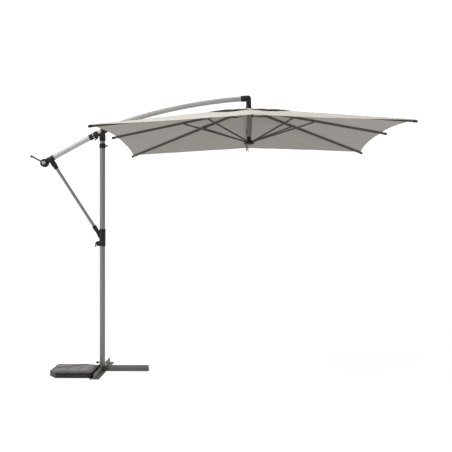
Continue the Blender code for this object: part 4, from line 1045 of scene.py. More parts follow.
@dataclass
class Slab:
    """The blow-moulded weight: a rounded body with a fluted side and a top of slopes and grooves."""

    near: Pair = (-0.030, -0.020)
    length: float = 0.390
    width: float = 0.370
    inner_cut: float = 0.035
    outer_cut: Pair = (0.073, 0.110)
    base: float = 0.0033
    rim: float = 0.052
    top: float = 0.065
    slope: float = 0.030
    rings: int = 80
    corner: float = 0.014
    crease: tuple[Pair, Pair] = ((-0.402, -0.262), (-0.135, -0.066))
    grooves: tuple[tuple[Pair, Pair, float, float], ...] = (  # start, end, half width, depth
        ((-0.276, -0.336), (-0.248, -0.204), 0.0055, 0.0042),
        ((-0.150, -0.350), (-0.153, -0.204), 0.0055, 0.0042),
        ((-0.062, -0.330), (-0.062, -0.100), 0.0065, 0.0040))

    def outline(self) -> list[Pair]:
        """The slab seen from above, anticlockwise.

        Returns:
            Its corners.
        """
        right, back = self.near
        left, front = right - self.length, back - self.width
        return [(right, back - self.inner_cut), (right - self.inner_cut, back), (left, back),
                (left, front + self.outer_cut[1]), (left + self.outer_cut[0], front), (right, front)]

    def perimeter(self, inset: float, step: float = 0.0035) -> list[Vector]:
        """The rounded outline, moved inwards and cut into short steps.

        Args:
            inset: how far inwards.
            step: the longest step of the outline before it moves inwards.

        Returns:
            Points whose number doesn't depend on the inset.
        """
        corners = self.outline()
        moved = []
        for i, corner in enumerate(corners):
            before, here = Vector(corners[i - 1]), Vector(corner)
            after = Vector(corners[(i + 1) % len(corners)])
            first, second = (here - before).normalized(), (after - here).normalized()
            inward = Vector((-first.y, first.x)), Vector((-second.y, second.x))
            bisector = inward[0] + inward[1]
            moved.append(here + bisector * (inset / (1.0 + inward[0].dot(inward[1]))))
        dense: list[Vector] = []
        arcs = rounded([tuple(p) for p in moved], self.corner, 6)
        sharp = rounded(corners, self.corner, 6)
        for i, point in enumerate(arcs):
            after = arcs[(i + 1) % len(arcs)]
            pieces = max(1, round((Vector(sharp[(i + 1) % len(sharp)]) - Vector(sharp[i])).length / step))
            dense += [Vector(point).lerp(Vector(after), k / pieces) for k in range(pieces)]
        return dense

    def centre(self) -> Vector:
        """The outline's middle."""
        corners = [Vector(p) for p in self.outline()]
        return sum(corners, Vector((0.0, 0.0))) / len(corners)

    def edge_distance(self, point: Vector) -> float:
        """How far inside the outline a point is.

        Args:
            point: a point of the plan.

        Returns:
            The distance.
        """
        corners = [Vector(p) for p in self.outline()]
        found = 1.0
        for i, here in enumerate(corners):
            run = (corners[(i + 1) % len(corners)] - here).normalized()
            found = min(found, Vector((-run.y, run.x)).dot(point - here))
        return found

    def groove(self, point: Vector, start: Pair, end: Pair, half: float) -> float:
        """How much a groove between two points takes at this point, from 0 to 1.

        Args:
            point: a point of the plan.
            start: where the groove starts.
            end: where it ends.
            half: half its width.

        Returns:
            The share of its depth.
        """
        first, run = Vector(start), Vector(end) - Vector(start)
        share = min(1.0, max(0.0, (point - first).dot(run) / run.length_squared))
        return 1.0 - smooth_step(((point - first - run * share).length - half * 0.5) / half)

    def height(self, point: Vector) -> float:
        """The top's level at a point of the plan.

        Args:
            point: the point.

        Returns:
            The level.
        """
        inside = self.edge_distance(point)
        level = self.rim + (self.top - self.rim) * smooth_step(inside / self.slope)
        start, end = (Vector(spot) for spot in self.crease)
        run = (end - start).normalized()
        beyond = Vector((-run.y, run.x)).dot(point - start)
        level += 0.0035 * smooth_step(beyond / 0.016 + 0.5) * smooth_step(inside / self.slope)
        for first, last, half, depth in ((*self.crease, 0.010, 0.0060), *self.grooves):
            level -= depth * self.groove(point, first, last, half)
        return level

    def shell(self) -> None:
        """The moulded shell, closed underneath."""
        draft = Draft()
        wall = ((0.004, self.base), (0.0012, self.base + 0.0010), (0.0, self.base + 0.0038),
                (0.0, 0.0215), (0.0006, 0.0225), (0.0022, 0.0235), (0.0022, 0.0275), (0.0006, 0.0285),
                (0.0, 0.0295), (0.0, 0.0455), (0.0008, 0.0485), (0.0026, 0.0508), (0.0052, 0.0520))
        rings = [[draft.vert((p.x, p.y, z)) for p in self.perimeter(inset)] for inset, z in wall]
        border, middle = self.perimeter(0.0052), self.centre()
        for k in range(1, self.rings):
            spots = [p.lerp(middle, k / self.rings) for p in border]
            rings.append([draft.vert((p.x, p.y, self.height(p))) for p in spots])
        count = len(border)
        for below, above in zip(rings, rings[1:]):
            for i in range(count):
                draft.face((below[i], below[(i + 1) % count], above[(i + 1) % count], above[i]))
        peak = draft.vert((middle.x, middle.y, self.height(middle)))
        for i in range(count):
            draft.face((rings[-1][i], rings[-1][(i + 1) % count], peak))
        draft.face(list(reversed(rings[0])))
        fit("weight_shell_moulded", draft.mesh("weight shell", 50.0), SHELL, "foot", ("weight_shell",))

    def plug(self) -> None:
        """The filling hole's plug: a disc with a coin slot's raised bar and a knurled rim."""
        front = self.near[1] - self.width
        mouth = frame_at((self.near[0] - 0.034, front, (self.base + self.rim) / 2.0), (0.0, -1.0, 0.0),
                         UP)
        draft = Draft()
        draft.lathe(((0.0, 0.0030), (0.0100, 0.0030), (0.0112, 0.0042), (0.0150, 0.0042), (0.0185, 0.0034),
                     (0.0190, 0.0026), (0.0190, 0.0004), (0.0157, 0.0004), (0.0157, -0.0036),
                     (0.0, -0.0036)), mouth, 72, lobes=24, lobe_depth=0.03)
        draft.block((-0.0086, -0.0016, 0.0026), (0.0086, 0.0016, 0.0046), mouth, 0.0012, 0.0005)
        fit("weight_plug_moulded", draft.mesh("weight plug"), SHELL, "foot", ("weight_plug",))

    def build(self) -> None:
        """Builds the whole slab."""
        self.shell()
        self.plug()
        mould("weight_core", "foot", CONCRETE, 0.002)


# ---- mast

@dataclass
class Knob:
    """A clamping knob: a threaded stem and a head with finger lobes."""

    name: str
    body: str
    origin: Vector
    outward: Vector
    length: float
    radius: float = 0.009

    def build(self) -> None:
        """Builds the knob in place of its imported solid."""
        neck = self.radius * 0.5
        profile = ((0.0, self.length + 0.0004), (self.radius * 0.5, self.length),
                   (self.radius * 0.85, self.length - 0.0008), (self.radius * 1.04, self.length - 0.0028),
                   (self.radius * 1.04, self.length * 0.50), (self.radius * 0.92, self.length * 0.42),
                   (neck * 1.3, self.length * 0.34), (neck, self.length * 0.28), (neck, 0.0), (0.0, 0.0))
        draft = Draft().lathe(profile, frame_at(self.origin, self.outward, UP), 72, lobes=6,
                              lobe_depth=0.2)
        fit(f"{self.name}_moulded", draft.mesh(self.name), NYLON, self.body, (self.name,))


@dataclass
class Mast:
    """The mast, the inner tube that rises from it, its clamps and the head that carries the boom."""

    radius: float = 0.025
    wall: float = 0.002
    low: float = 0.0556
    high: float = 2.095
    inner_radius: float = 0.0227
    inner_wall: float = 0.0018
    inner_low: float = 1.990
    inner_high: float = 2.150
    collar_low: float = 2.059
    collar_height: float = 0.042
    collar_radius: float = 0.0293
    pivot: Pair = (0.0, 2.178)
    cheek: Pair = (0.0302, 0.0338)

    def tubes(self) -> None:
        """The two tubes."""
        fit("mast_tube_drawn", Draft().tube(self.radius, self.wall, self.low, self.high).mesh("mast tube"),
            TUBE, "mast", ("mast_tube",))
        inner = Draft().tube(self.inner_radius, self.inner_wall, self.inner_low, self.inner_high)
        fit("mast_inner_tube_drawn", inner.mesh("mast inner tube"), TUBE, "mast", ("mast_inner_tube",))

    def collar(self) -> None:
        """The top clamp: a split ring with a raised boss for its knob."""
        low, high, outer = self.collar_low, self.collar_low + self.collar_height, self.collar_radius
        bore = self.radius + 0.0003
        middle = (low + high) / 2.0
        upper = ((bore, high), (outer - 0.0022, high), (outer - 0.0006, high - 0.0006),
                 (outer, high - 0.0022), (outer, high - 0.0075), (outer - 0.0009, high - 0.0085))
        draft = Draft().lathe(mirrored(upper, middle), IDENTITY, 72, closed=True)
        boss = frame_at((bore + 0.0012, 0.0, middle), OUT, UP)
        draft.lathe(((0.0, 0.0027), (0.0100, 0.0027), (0.0112, 0.0016), (0.0116, 0.0), (0.0, 0.0)), boss, 40)
        for z in (low + 0.012, high - 0.012):
            draft.screw(frame_at((-0.0288 * math.cos(0.5), -0.0288 * math.sin(0.5), z),
                                 (-math.cos(0.5), -math.sin(0.5), 0.0), UP), 0.0030, 0.0012)
        fit("mast_top_collar_moulded", draft.mesh("mast top collar"), NYLON, "mast", ("mast_top_collar",))
        Knob("top_collar_knob", "top_collar_knob",
             Vector((outer + 0.0003, 0.0, middle)), Vector(OUT), 0.018,
             0.0082).build()

    def build(self) -> None:
        """Builds the whole mast."""
        self.tubes()
        self.collar()
        azimuth = math.radians(208.6)
        outward = Vector((math.cos(azimuth), math.sin(azimuth), 0.0))
        Knob("mast_foot_knob", "mast_foot_knob", outward * 0.0253 + Vector((0.0, 0.0, 0.078)), outward,
             0.034).build()
        mould("mast_head", "mast", NYLON, 0.0008, self.head_detail)
        turned_pin("boom_pivot_pin", "mast", self.pivot, self.cheek[1])

    def head_detail(self, draft: Draft) -> None:
        """The two grub screws that hold the head on its tube, and the seam ring at its foot.

        Args:
            draft: the piece that they are added to.
        """
        for azimuth in (250.0, 110.0):
            out = Vector((math.cos(math.radians(azimuth)), math.sin(math.radians(azimuth)), 0.0))
            draft.screw(frame_at(out * 0.0272 + Vector((0.0, 0.0, 2.136)), out, UP), 0.0032,
                        0.0012)
        draft.band(0.0272, 0.0279, (2.1315, 2.1308, 2.1262, 2.1255), sides=64)
        outer = self.cheek[1]
        draft.prism(rounded(((-0.021, -outer), (0.021, -outer), (0.021, outer), (-0.021, outer)), 0.016, 8),
                    2.138, 2.1565, IDENTITY, 0.0025, 3)
        outline = link_outline((0.0, -2.149), (self.pivot[0], -self.pivot[1]), 0.0235, 0.0225, 24)
        draft.cheeks(outline, *self.cheek, 0.0010)
        draft.rivet_pair(self.pivot, outer, 0.0085, 0.0022)


# ---- boom

@dataclass
class Boom:
    """The boom's tubes and the moulded pieces on them: joint ring, saddle and elbow."""

    line: BoomLine
    hub: Hub
    radius: float = 0.0225
    wall: float = 0.0016
    room: float = 0.0008
    sleeve: float = 0.0045
    joint_x: float = -0.104

    def tubes(self) -> None:
        """The straight rear tube, the bent front tube and the splice in their joint."""
        joint = self.line.distance(self.joint_x)
        # Both boom tubes wear the lightened copy of the tube finish: painted top light.
        rear = Draft().tube(self.radius, self.wall, 0.040 - WINCH_BACK, joint - 0.0003,
                            self.line.frame(0.0))
        fit("boom_rear_tube_drawn", rear.mesh("boom rear tube"), BOOM_TUBE_PAINTED_TOP_LIGHT, "boom", ("boom_rear_tube",))
        end = self.line.distance(self.hub.x - 0.024)
        front = Draft().sweep(self.line.run(joint + 0.0003, end, 72), self.radius, 64, self.wall)
        fit("boom_front_tube_bent", front.mesh("boom front tube"), BOOM_TUBE_PAINTED_TOP_LIGHT, "boom", ("boom_front_tube",))
        mould("boom_splice", "boom", ZINC, 0.0004)

    def joint_ring(self) -> None:
        """The ring around the tubes' joint: two ridges, and a waist with small ribs round it."""
        half, outer = 0.0185, self.radius + self.room + self.sleeve
        bore = self.radius + self.room
        place = self.line.frame(self.line.distance(self.joint_x))
        upper = ((bore, half), (outer - 0.0024, half), (outer - 0.0007, half - 0.0007),
                 (outer, half - 0.0024), (outer, half - 0.0085), (outer - 0.0013, half - 0.0100))
        draft = Draft().lathe(mirrored(upper), place, 72, closed=True)
        for turn in range(24):
            angle = 2.0 * math.pi * turn / 24
            spot = place @ Matrix.Rotation(angle, 4, "Z") @ Matrix.Translation((outer - 0.0013, 0.0, 0.0))
            draft.block((-0.0004, -0.0011, 0.0105 - half), (0.0009, 0.0011, half - 0.0105), spot, 0.0004,
                        0.0002)
        fit("boom_joint_ring_moulded", draft.mesh("boom joint ring"), NYLON, "boom", ("boom_joint_ring",))

    def saddle_detail(self, draft: Draft) -> None:
        """Clamp screws on the wraps' near and far sides, and a rib round each wrap.

        Args:
            draft: the piece that they are added to.
        """
        outer = self.radius + 0.006
        for x in (-0.060, 0.0125):
            place = self.line.frame(self.line.distance(x))
            draft.band(outer - 0.0006, outer + 0.0011, (0.0040, 0.0032, -0.0032, -0.0040), place)
            for side in BOTH_SIDES:
                spot = place @ Matrix.Rotation(side * math.radians(72.0), 4, "Z")
                spot = spot @ frame_at((outer - 0.0004, 0.0, 0.0105), OUT)
                draft.screw(spot, 0.0034, 0.0018)

    def elbow_detail(self, draft: Draft) -> None:
        """Rims at the elbow's two mouths and the screws that hold the tubes in it.

        Args:
            draft: the piece that they are added to.
        """
        outer = self.radius + self.room + self.sleeve
        start = self.line.distance(self.hub.x - 0.072)
        rim = self.line.frame(start)
        draft.band(outer - 0.0008, outer + 0.0012, (0.0005, 0.0012, 0.0070, 0.0082), rim)
        hub = self.hub.frame()
        for side in BOTH_SIDES:
            spot = self.line.frame(start + 0.022)
            spot = spot @ Matrix.Rotation(side * QUARTER, 4, "Z")
            draft.screw(spot @ frame_at((outer - 0.0004, 0.0, 0.0), OUT), 0.0040, 0.0020)
            pole = hub @ Matrix.Rotation(side * QUARTER, 4, "Z")
            draft.screw(pole @ frame_at((0.0236, 0.0, 0.052), OUT), 0.0040, 0.0020)
        draft.band(0.0234, 0.0256, (0.0185, 0.0190, 0.0245, 0.0255), hub, 64)

    def build(self) -> None:
        """Builds the boom and what is fixed to it."""
        self.tubes()
        self.joint_ring()
        mould("boom_saddle", "boom", NYLON, 0.0008, self.saddle_detail)
        mould("saddle_lever", "saddle_lever", NYLON, 0.0009)
        mould("boom_elbow", "boom", NYLON, 0.0010, self.elbow_detail)
        pole = Draft().tube(0.017, 0.0015, -0.280, 0.085, self.hub.frame(), 48)
        fit("centre_pole_drawn", pole.mesh("centre pole"), TUBE, "boom", ("centre_pole",))
        mould("crown", "boom", NYLON, 0.0006, self.crown_pins)
        mould("lift_rope", "boom", ROPE, 0.0)

    def crown_pins(self, draft: Draft) -> None:
        """The short pins that the ribs turn on."""
        for i in range(8):
            pin = self.hub.radial(i, self.hub.pivot_radius, 0.0, 0.0, (1.0, 0.0))
            upper = ((0.0, 0.0085), (0.0012, 0.0085))
            draft.lathe(mirrored(upper), pin @ Matrix.Rotation(QUARTER, 4, "X"), 12)


# ---- crank

@dataclass
class Crank:
    """The winch on the boom's tail: housing, cover, arm, grey cap and turning grip."""

    line: BoomLine
    radius: float = 0.0375
    half: float = 0.025
    sleeve_radius: float = 0.026
    arm_y: float = -0.034
    arm_thick: float = 0.008
    arm_length: float = 0.1145
    arm_azimuth: float = 151.9
    grip_radius: float = 0.011
    grip_length: float = 0.058

    def centre(self) -> Vector:
        """The drum's axis, in the plane y = 0."""
        place, slope = self.line.point(-WINCH_BACK)
        return place - slope_vector(slope + 90.0) * 0.005

    def housing_detail(self, draft: Draft) -> None:
        """The two stiffening rings on the sleeve."""
        along, outer = self.line.frame(-WINCH_BACK), self.sleeve_radius
        for z in (0.099, 0.050):
            draft.band(outer - 0.0006, outer + 0.0014, (z, z - 0.0007, z - 0.0063, z - 0.0072), along)

    def cover(self) -> None:
        """The cover: a domed disc with a raised hub, a recessed ring and four screws."""
        side = across(self.centre())
        seat, face = -self.half + 0.006, -self.half
        draft = Draft().lathe(((0.0085, seat), (self.radius, seat), (self.radius + 0.0006, seat - 0.0010),
                               (self.radius + 0.0002, face + 0.0018), (self.radius - 0.0012, face + 0.0004),
                               (self.radius - 0.0032, face), (0.0318, face), (0.0305, face + 0.0012),
                               (0.0215, face + 0.0012), (0.0205, face), (0.0085, face)), side, 96,
                              closed=True)
        for i in range(4):
            angle = math.pi / 4.0 + math.pi / 2.0 * i
            spot = side @ Matrix.Translation((0.0344 * math.cos(angle), 0.0344 * math.sin(angle), face))
            draft.screw(spot @ Matrix.Rotation(math.pi, 4, "X"), 0.0022, 0.0010)
        fit("crank_cover_moulded", draft.mesh("crank cover"), NYLON, "boom", ("crank_cover",))

    def arm_end(self) -> Matrix:
        """The grip's axis: its Z runs along +Y."""
        heading = math.radians(self.arm_azimuth)
        return across(self.centre()) @ Matrix.Translation(
            (self.arm_length * math.cos(heading), -self.arm_length * math.sin(heading), 0.0))

    def cap(self) -> None:
        """The grey cap pressed over the arm's hub."""
        side = across(self.centre())
        front = self.arm_y - self.arm_thick - 0.0020
        draft = Draft().lathe(((0.0, front - 0.0030), (0.0080, front - 0.0029), (0.0128, front - 0.0023),
                               (0.0158, front - 0.0010), (0.0166, front + 0.0004), (0.0166, front + 0.0046),
                               (0.0176, front + 0.0052), (0.0182, front + 0.0064), (0.0182, front + 0.0076),
                               (0.0174, front + 0.0080), (0.0, front + 0.0080)), side, 72)
        fit("crank_cap", draft.mesh("crank cap"), GREY_NYLON, "crank")

    def grip(self) -> None:
        """The grip: a barrel with finger waists, a collar and a domed end."""
        start = self.arm_y - self.arm_thick - 0.0005
        end = start - self.grip_length
        full = self.grip_radius
        profile = [(0.0045, start), (full * 0.78, start), (full * 0.92, start - 0.0010),
                   (full * 0.96, start - 0.0030)]
        steps = 28
        for i in range(steps + 1):
            share = i / steps
            waist = 0.93 + 0.07 * math.sin(math.pi * share) - 0.035 * math.cos(6.0 * math.pi * share)
            profile.append((full * min(1.0, waist), start - 0.0050 - (self.grip_length - 0.0095) * share))
        profile += [(full * 0.80, end + 0.0022), (full * 0.55, end + 0.0006), (0.0, end)]
        profile += [(0.0, end + 0.005), (0.0045, end + 0.005)]
        draft = Draft().lathe(profile, self.arm_end(), 64, closed=True)
        fit("crank_grip_moulded", draft.mesh("crank grip"), ARM_NYLON, "crank_grip", ("crank_grip",))

    def arm_detail(self, draft: Draft) -> None:
        """The stiffening rib along the arm.

        Args:
            draft: the piece that they are added to.
        """
        heading = math.radians(self.arm_azimuth)
        side = across(self.centre()) @ Matrix.Rotation(-heading, 4, "Z")
        face = self.arm_y - self.arm_thick
        draft.block((0.0220, -0.0018, face - 0.0016), (self.arm_length - 0.014, 0.0018, face + 0.0004), side,
                    0.0014, 0.0005)

    def build(self) -> None:
        """Builds the whole winch."""
        mould("crank_housing", "boom", NYLON, 0.0009, self.housing_detail)
        self.cover()
        mould("rope_drum", "crank", NYLON, 0.0005)
        mould("crank_arm", "crank", ARM_NYLON, 0.0011, self.arm_detail)
        self.cap()
        self.grip()


# ---- stay

@dataclass
class Stay:
    """The stay and the collar that slides on the mast and carries its lower end."""

    low: Pair = (-0.045, 1.285)
    high: Pair = (-0.4726, 1.9434)
    cheek: Pair = (0.0145, 0.0188)
    fork_cheek: Pair = (0.0269, 0.0304)
    radius: float = 0.014
    wall: float = 0.0015

    def axis(self) -> Matrix:
        """A frame at the lower pivot whose Z runs up the stay."""
        return frame_at(at(self.low), at(self.high) - at(self.low))

    def collar_detail(self, draft: Draft) -> None:
        """Rims at the collar's two mouths, a gusset and the clamp's screws.

        Args:
            draft: the piece that they are added to.
        """
        outer = 0.0290
        for z in (1.1525, 1.3005):
            draft.band(outer - 0.0005, outer + 0.0010, (z, z + 0.0008, z + 0.0062, z + 0.0070))
        gusset = ((-0.0270, -1.2985), (-0.0450, -1.2985), (-0.0572, -1.2910), (-0.0580, -1.2780),
                  (-0.0440, -1.2480), (-0.0270, -1.2150))
        draft.prism(rounded(gusset, 0.006, 5), -0.0110, 0.0110, across((0.0, 0.0, 0.0)), 0.0012, 2)
        for z in (1.163, 1.189):
            for side in BOTH_SIDES:
                draft.screw(frame_at((-0.040, side * 0.0157, z), (0.0, side, 0.0), UP), 0.0036,
                            0.0018)

    def lower_cheeks(self, draft: Draft) -> None:
        """The sleeve's two cheeks, which reach down past the collar's lug to the pin.

        Args:
            draft: the piece that they are added to.
        """
        heading = (at(self.high) - at(self.low)).normalized()
        shoulder = at(self.low) + heading * 0.040
        outline = link_outline((self.low[0], -self.low[1]), (shoulder.x, -shoulder.z), 0.0135, 0.0165, 20)
        draft.cheeks(outline, *self.cheek, 0.0012)
        draft.rivet_pair(self.low, self.cheek[1], 0.0075, 0.0022)

    def fork_detail(self, draft: Draft) -> None:
        """Broad cheeks over the fork's own, and a boss at their pivot.

        Args:
            draft: the piece that they are added to.
        """
        heading = (at(self.low) - at(self.high)).normalized()
        shoulder = at(self.high) + heading * 0.050
        outline = link_outline((self.high[0], -self.high[1]), (shoulder.x, -shoulder.z), 0.0185, 0.0203, 24)
        inner, outer = self.fork_cheek
        draft.cheeks(outline, inner, outer, 0.0010)
        draft.rivet_pair(self.high, outer - 0.0001, 0.0085, 0.0030)

    def build(self) -> None:
        """Builds the stay, its ends and its collar."""
        length = (at(self.high) - at(self.low)).length
        tube = Draft().tube(self.radius, self.wall, 0.030, length - 0.0443, self.axis(), 48)
        fit("stay_tube_drawn", tube.mesh("stay tube"), TUBE, "stay", ("stay_tube",))
        mould("stay_lower_sleeve", "stay", NYLON, 0.0009, self.lower_cheeks)
        mould("stay_upper_fork", "stay", NYLON, 0.0009, self.fork_detail)
        mould("slide_collar", "collar", NYLON, 0.0009, self.collar_detail)
        mould("collar_lever", "collar_lever", NYLON, 0.0009)
        turned_pin("stay_pin", "collar", self.low, self.cheek[1])


# ---- canopy frame

@dataclass
class CanopyFrame:
    """The eight ribs, the eight stretchers and the runner that lifts them."""

    hub: Hub
    rib: tuple[float, float, float] = (0.012, 0.018, 0.0008)  # width, height, wall
    stretcher: tuple[float, float, float] = (0.008, 0.014, 0.001)
    offset: float = 0.012
    joint_radius: float = 0.620
    runner_pivot: Pair = (0.034, -0.291)

    def channel(self, width: float, height: float, wall: float) -> list[Pair]:
        """A rolled channel's section, open downwards: +X is down. Its bends are round.

        Args:
            width: its width.
            height: its height.
            wall: its wall.

        Returns:
            The section.
        """
        half, top, outer, inner = width / 2.0, height / 2.0, wall + 0.0008, 0.0008

        def bend(x: float, y: float, radius: float, first: float, step: float) -> list[Pair]:
            """A quarter turn about (x, y), from the first angle in steps, in degrees."""
            angles = (math.radians(first + step * k) for k in range(4))
            return [(x + radius * math.cos(a), y + radius * math.sin(a)) for a in angles]

        return [(top, half), (top, half - wall),
                *bend(wall + inner - top, half - wall - inner, inner, 90.0, 30.0),
                *bend(wall + inner - top, wall + inner - half, inner, 180.0, 30.0),
                (top, wall - half), (top, -half),
                *bend(outer - top, outer - half, outer, 270.0, -30.0),
                *bend(outer - top, half - outer, outer, 180.0, -30.0)]

    def ribs(self) -> None:
        """Each rib with its tip cap, and the clip that its stretcher is pinned to."""
        width, height, _ = self.rib
        for i, side in enumerate(RIB_SIDES):
            run = self.hub.reach(i) - self.hub.pivot_radius
            length = run * math.hypot(1.0, self.hub.fall(i))
            along = self.hub.radial(i, self.hub.pivot_radius, 0.0, 0.0, (1.0, -self.hub.fall(i)))
            bar = Draft().prism(self.channel(*self.rib), -0.006, length - 0.004, along)
            fit(f"rib_{side}_rolled", bar.mesh("rib", 50.0), CHANNEL, f"rib_{side}", (f"rib_{side}",))
            tip = Draft()
            top, bottom, aside = -height / 2 - 0.0016, height / 2 + 0.0012, width / 2 + 0.0016
            outline = rounded(((top, -aside), (bottom, -aside), (bottom, aside), (top, aside)), 0.0035, 4)
            tip.prism(outline, length - 0.030, length + 0.001, along, 0.0018, 3)
            fit(f"rib_{side}_tip", tip.mesh("rib tip"), NYLON, f"rib_{side}")
            place = (self.joint_radius - self.hub.pivot_radius) * math.hypot(1.0, self.hub.fall(i))
            clip = Draft().block((-height / 2.0 + 0.0030, -width / 2.0 - 0.0007, place - 0.016),
                                 (height / 2.0 + 0.0007, width / 2.0 + 0.0007, place + 0.016), along, 0.0012,
                                 0.0005)
            hole = along @ Matrix.Translation((0.0, 0.0, place))
            clip.rivet(hole @ Matrix.Rotation(QUARTER, 4, "X") @ Matrix.Translation(
                (0.0, 0.0, width / 2.0)), 0.0045, 0.0016)
            fit(f"rib_{side}_clip", clip.mesh("rib clip"), CHANNEL, f"rib_{side}")

    def stretchers(self) -> None:
        """Each stretcher with the rivet at its outer end and the pin at its inner end."""
        out = self.joint_radius - self.runner_pivot[0]
        for i, side in enumerate(RIB_SIDES):
            rise = self.hub.height(i, self.joint_radius) - self.runner_pivot[1]
            length = math.hypot(out, rise)
            along = self.hub.radial(i, self.runner_pivot[0], self.runner_pivot[1], self.offset, (out, rise))
            bar = Draft().prism(self.channel(*self.stretcher), -0.006, length + 0.006, along)
            fit(f"stretcher_{side}_rolled", bar.mesh("stretcher", 50.0), CHANNEL, f"stretcher_{side}",
                (f"stretcher_{side}",))
            pins = Draft()
            half = self.stretcher[0] / 2.0
            for z, turn, height in ((0.0, QUARTER, 0.0004), (length, QUARTER, 0.0015),
                                    (length, -QUARTER, 0.0015)):
                spot = along @ Matrix.Translation((0.0, 0.0, z)) @ Matrix.Rotation(turn, 4, "X")
                pins.rivet(spot @ Matrix.Translation((0.0, 0.0, half)), 0.0036, height)
            fit(f"stretcher_{side}_rivets", pins.mesh("stretcher rivets"), ZINC, f"stretcher_{side}")

    def build(self) -> None:
        """Builds the bars and the runner."""
        self.ribs()
        self.stretchers()
        mould("runner", "runner", NYLON, 0.0006)


@dataclass
class RopeTail:
    """The lifting rope's end below the runner, where it is knotted."""

    hub: Hub
    radius: float = 0.0025
    route: tuple[Pair, ...] = ((0.0, -0.3225), (-0.0005, -0.331), (-0.0022, -0.343), (-0.0042, -0.356),
                               (-0.0058, -0.368), (-0.0065, -0.378))
    knot_radius: float = 0.006

    def points(self) -> list[Vector]:
        """The tail's centreline, eased between its route's points.

        Returns:
            Its points.
        """
        hub = self.hub.frame()
        corners = [hub @ Vector((x, 0.0, z)) for x, z in self.route]
        smooth = []
        for i in range(len(corners) - 1):
            before, after = corners[max(i - 1, 0)], corners[min(i + 2, len(corners) - 1)]
            start, end = corners[i], corners[i + 1]
            for k in range(4):
                t = k / 4.0
                smooth.append(0.5 * ((2.0 * start) + (end - before) * t
                                     + (2.0 * before - 5.0 * start + 4.0 * end - after) * t * t
                                     + (3.0 * start - before - 3.0 * end + after) * t * t * t))
        return [*smooth, corners[-1]]

    def build(self) -> None:
        """Builds the tail and its knot."""
        points = self.points()
        tail = fit("rope_tail_braided", Draft().sweep(points, self.radius, 20).mesh("rope tail", 60.0), ROPE,
                   "runner", ("rope_tail",))
        x, z = self.route[-1]
        centre = self.hub.frame() @ Matrix.Translation((x, 0.0, z - self.knot_radius - 0.0003))
        draft = Draft()
        for lean in (0.0, 60.0, 120.0):
            loop = centre @ Matrix.Rotation(math.radians(lean), 4, "Z") @ Matrix.Rotation(
                math.radians(35.0), 4, "X")
            reach = self.knot_radius - self.radius
            ring = [loop @ Vector((reach * math.cos(a), reach * math.sin(a) * 0.8, 0.0))
                    for a in (2.0 * math.pi * k / 24 for k in range(25))]
            draft.sweep(ring, self.radius * 0.92, 14)
        knot = fit("rope_knot_tied", draft.mesh("rope knot", 60.0), ROPE, "runner", ("rope_knot",))


# ---- canopy

@dataclass(frozen=True)
class ClothCut:
    """One tier of the canopy: how far it reaches and how it hangs between the ribs."""

    name: str
    node: str
    side_hem: float
    corner_hem: float  # along the side, so the corner rib's hem is this times the root of two
    scallop: Pair  # how far the hem draws in between the ribs, at the mast's side and opposite it
    inner: float
    lift: float
    wave: float  # how much more it lifts between the ribs than over them
    sag: float
    rows: int


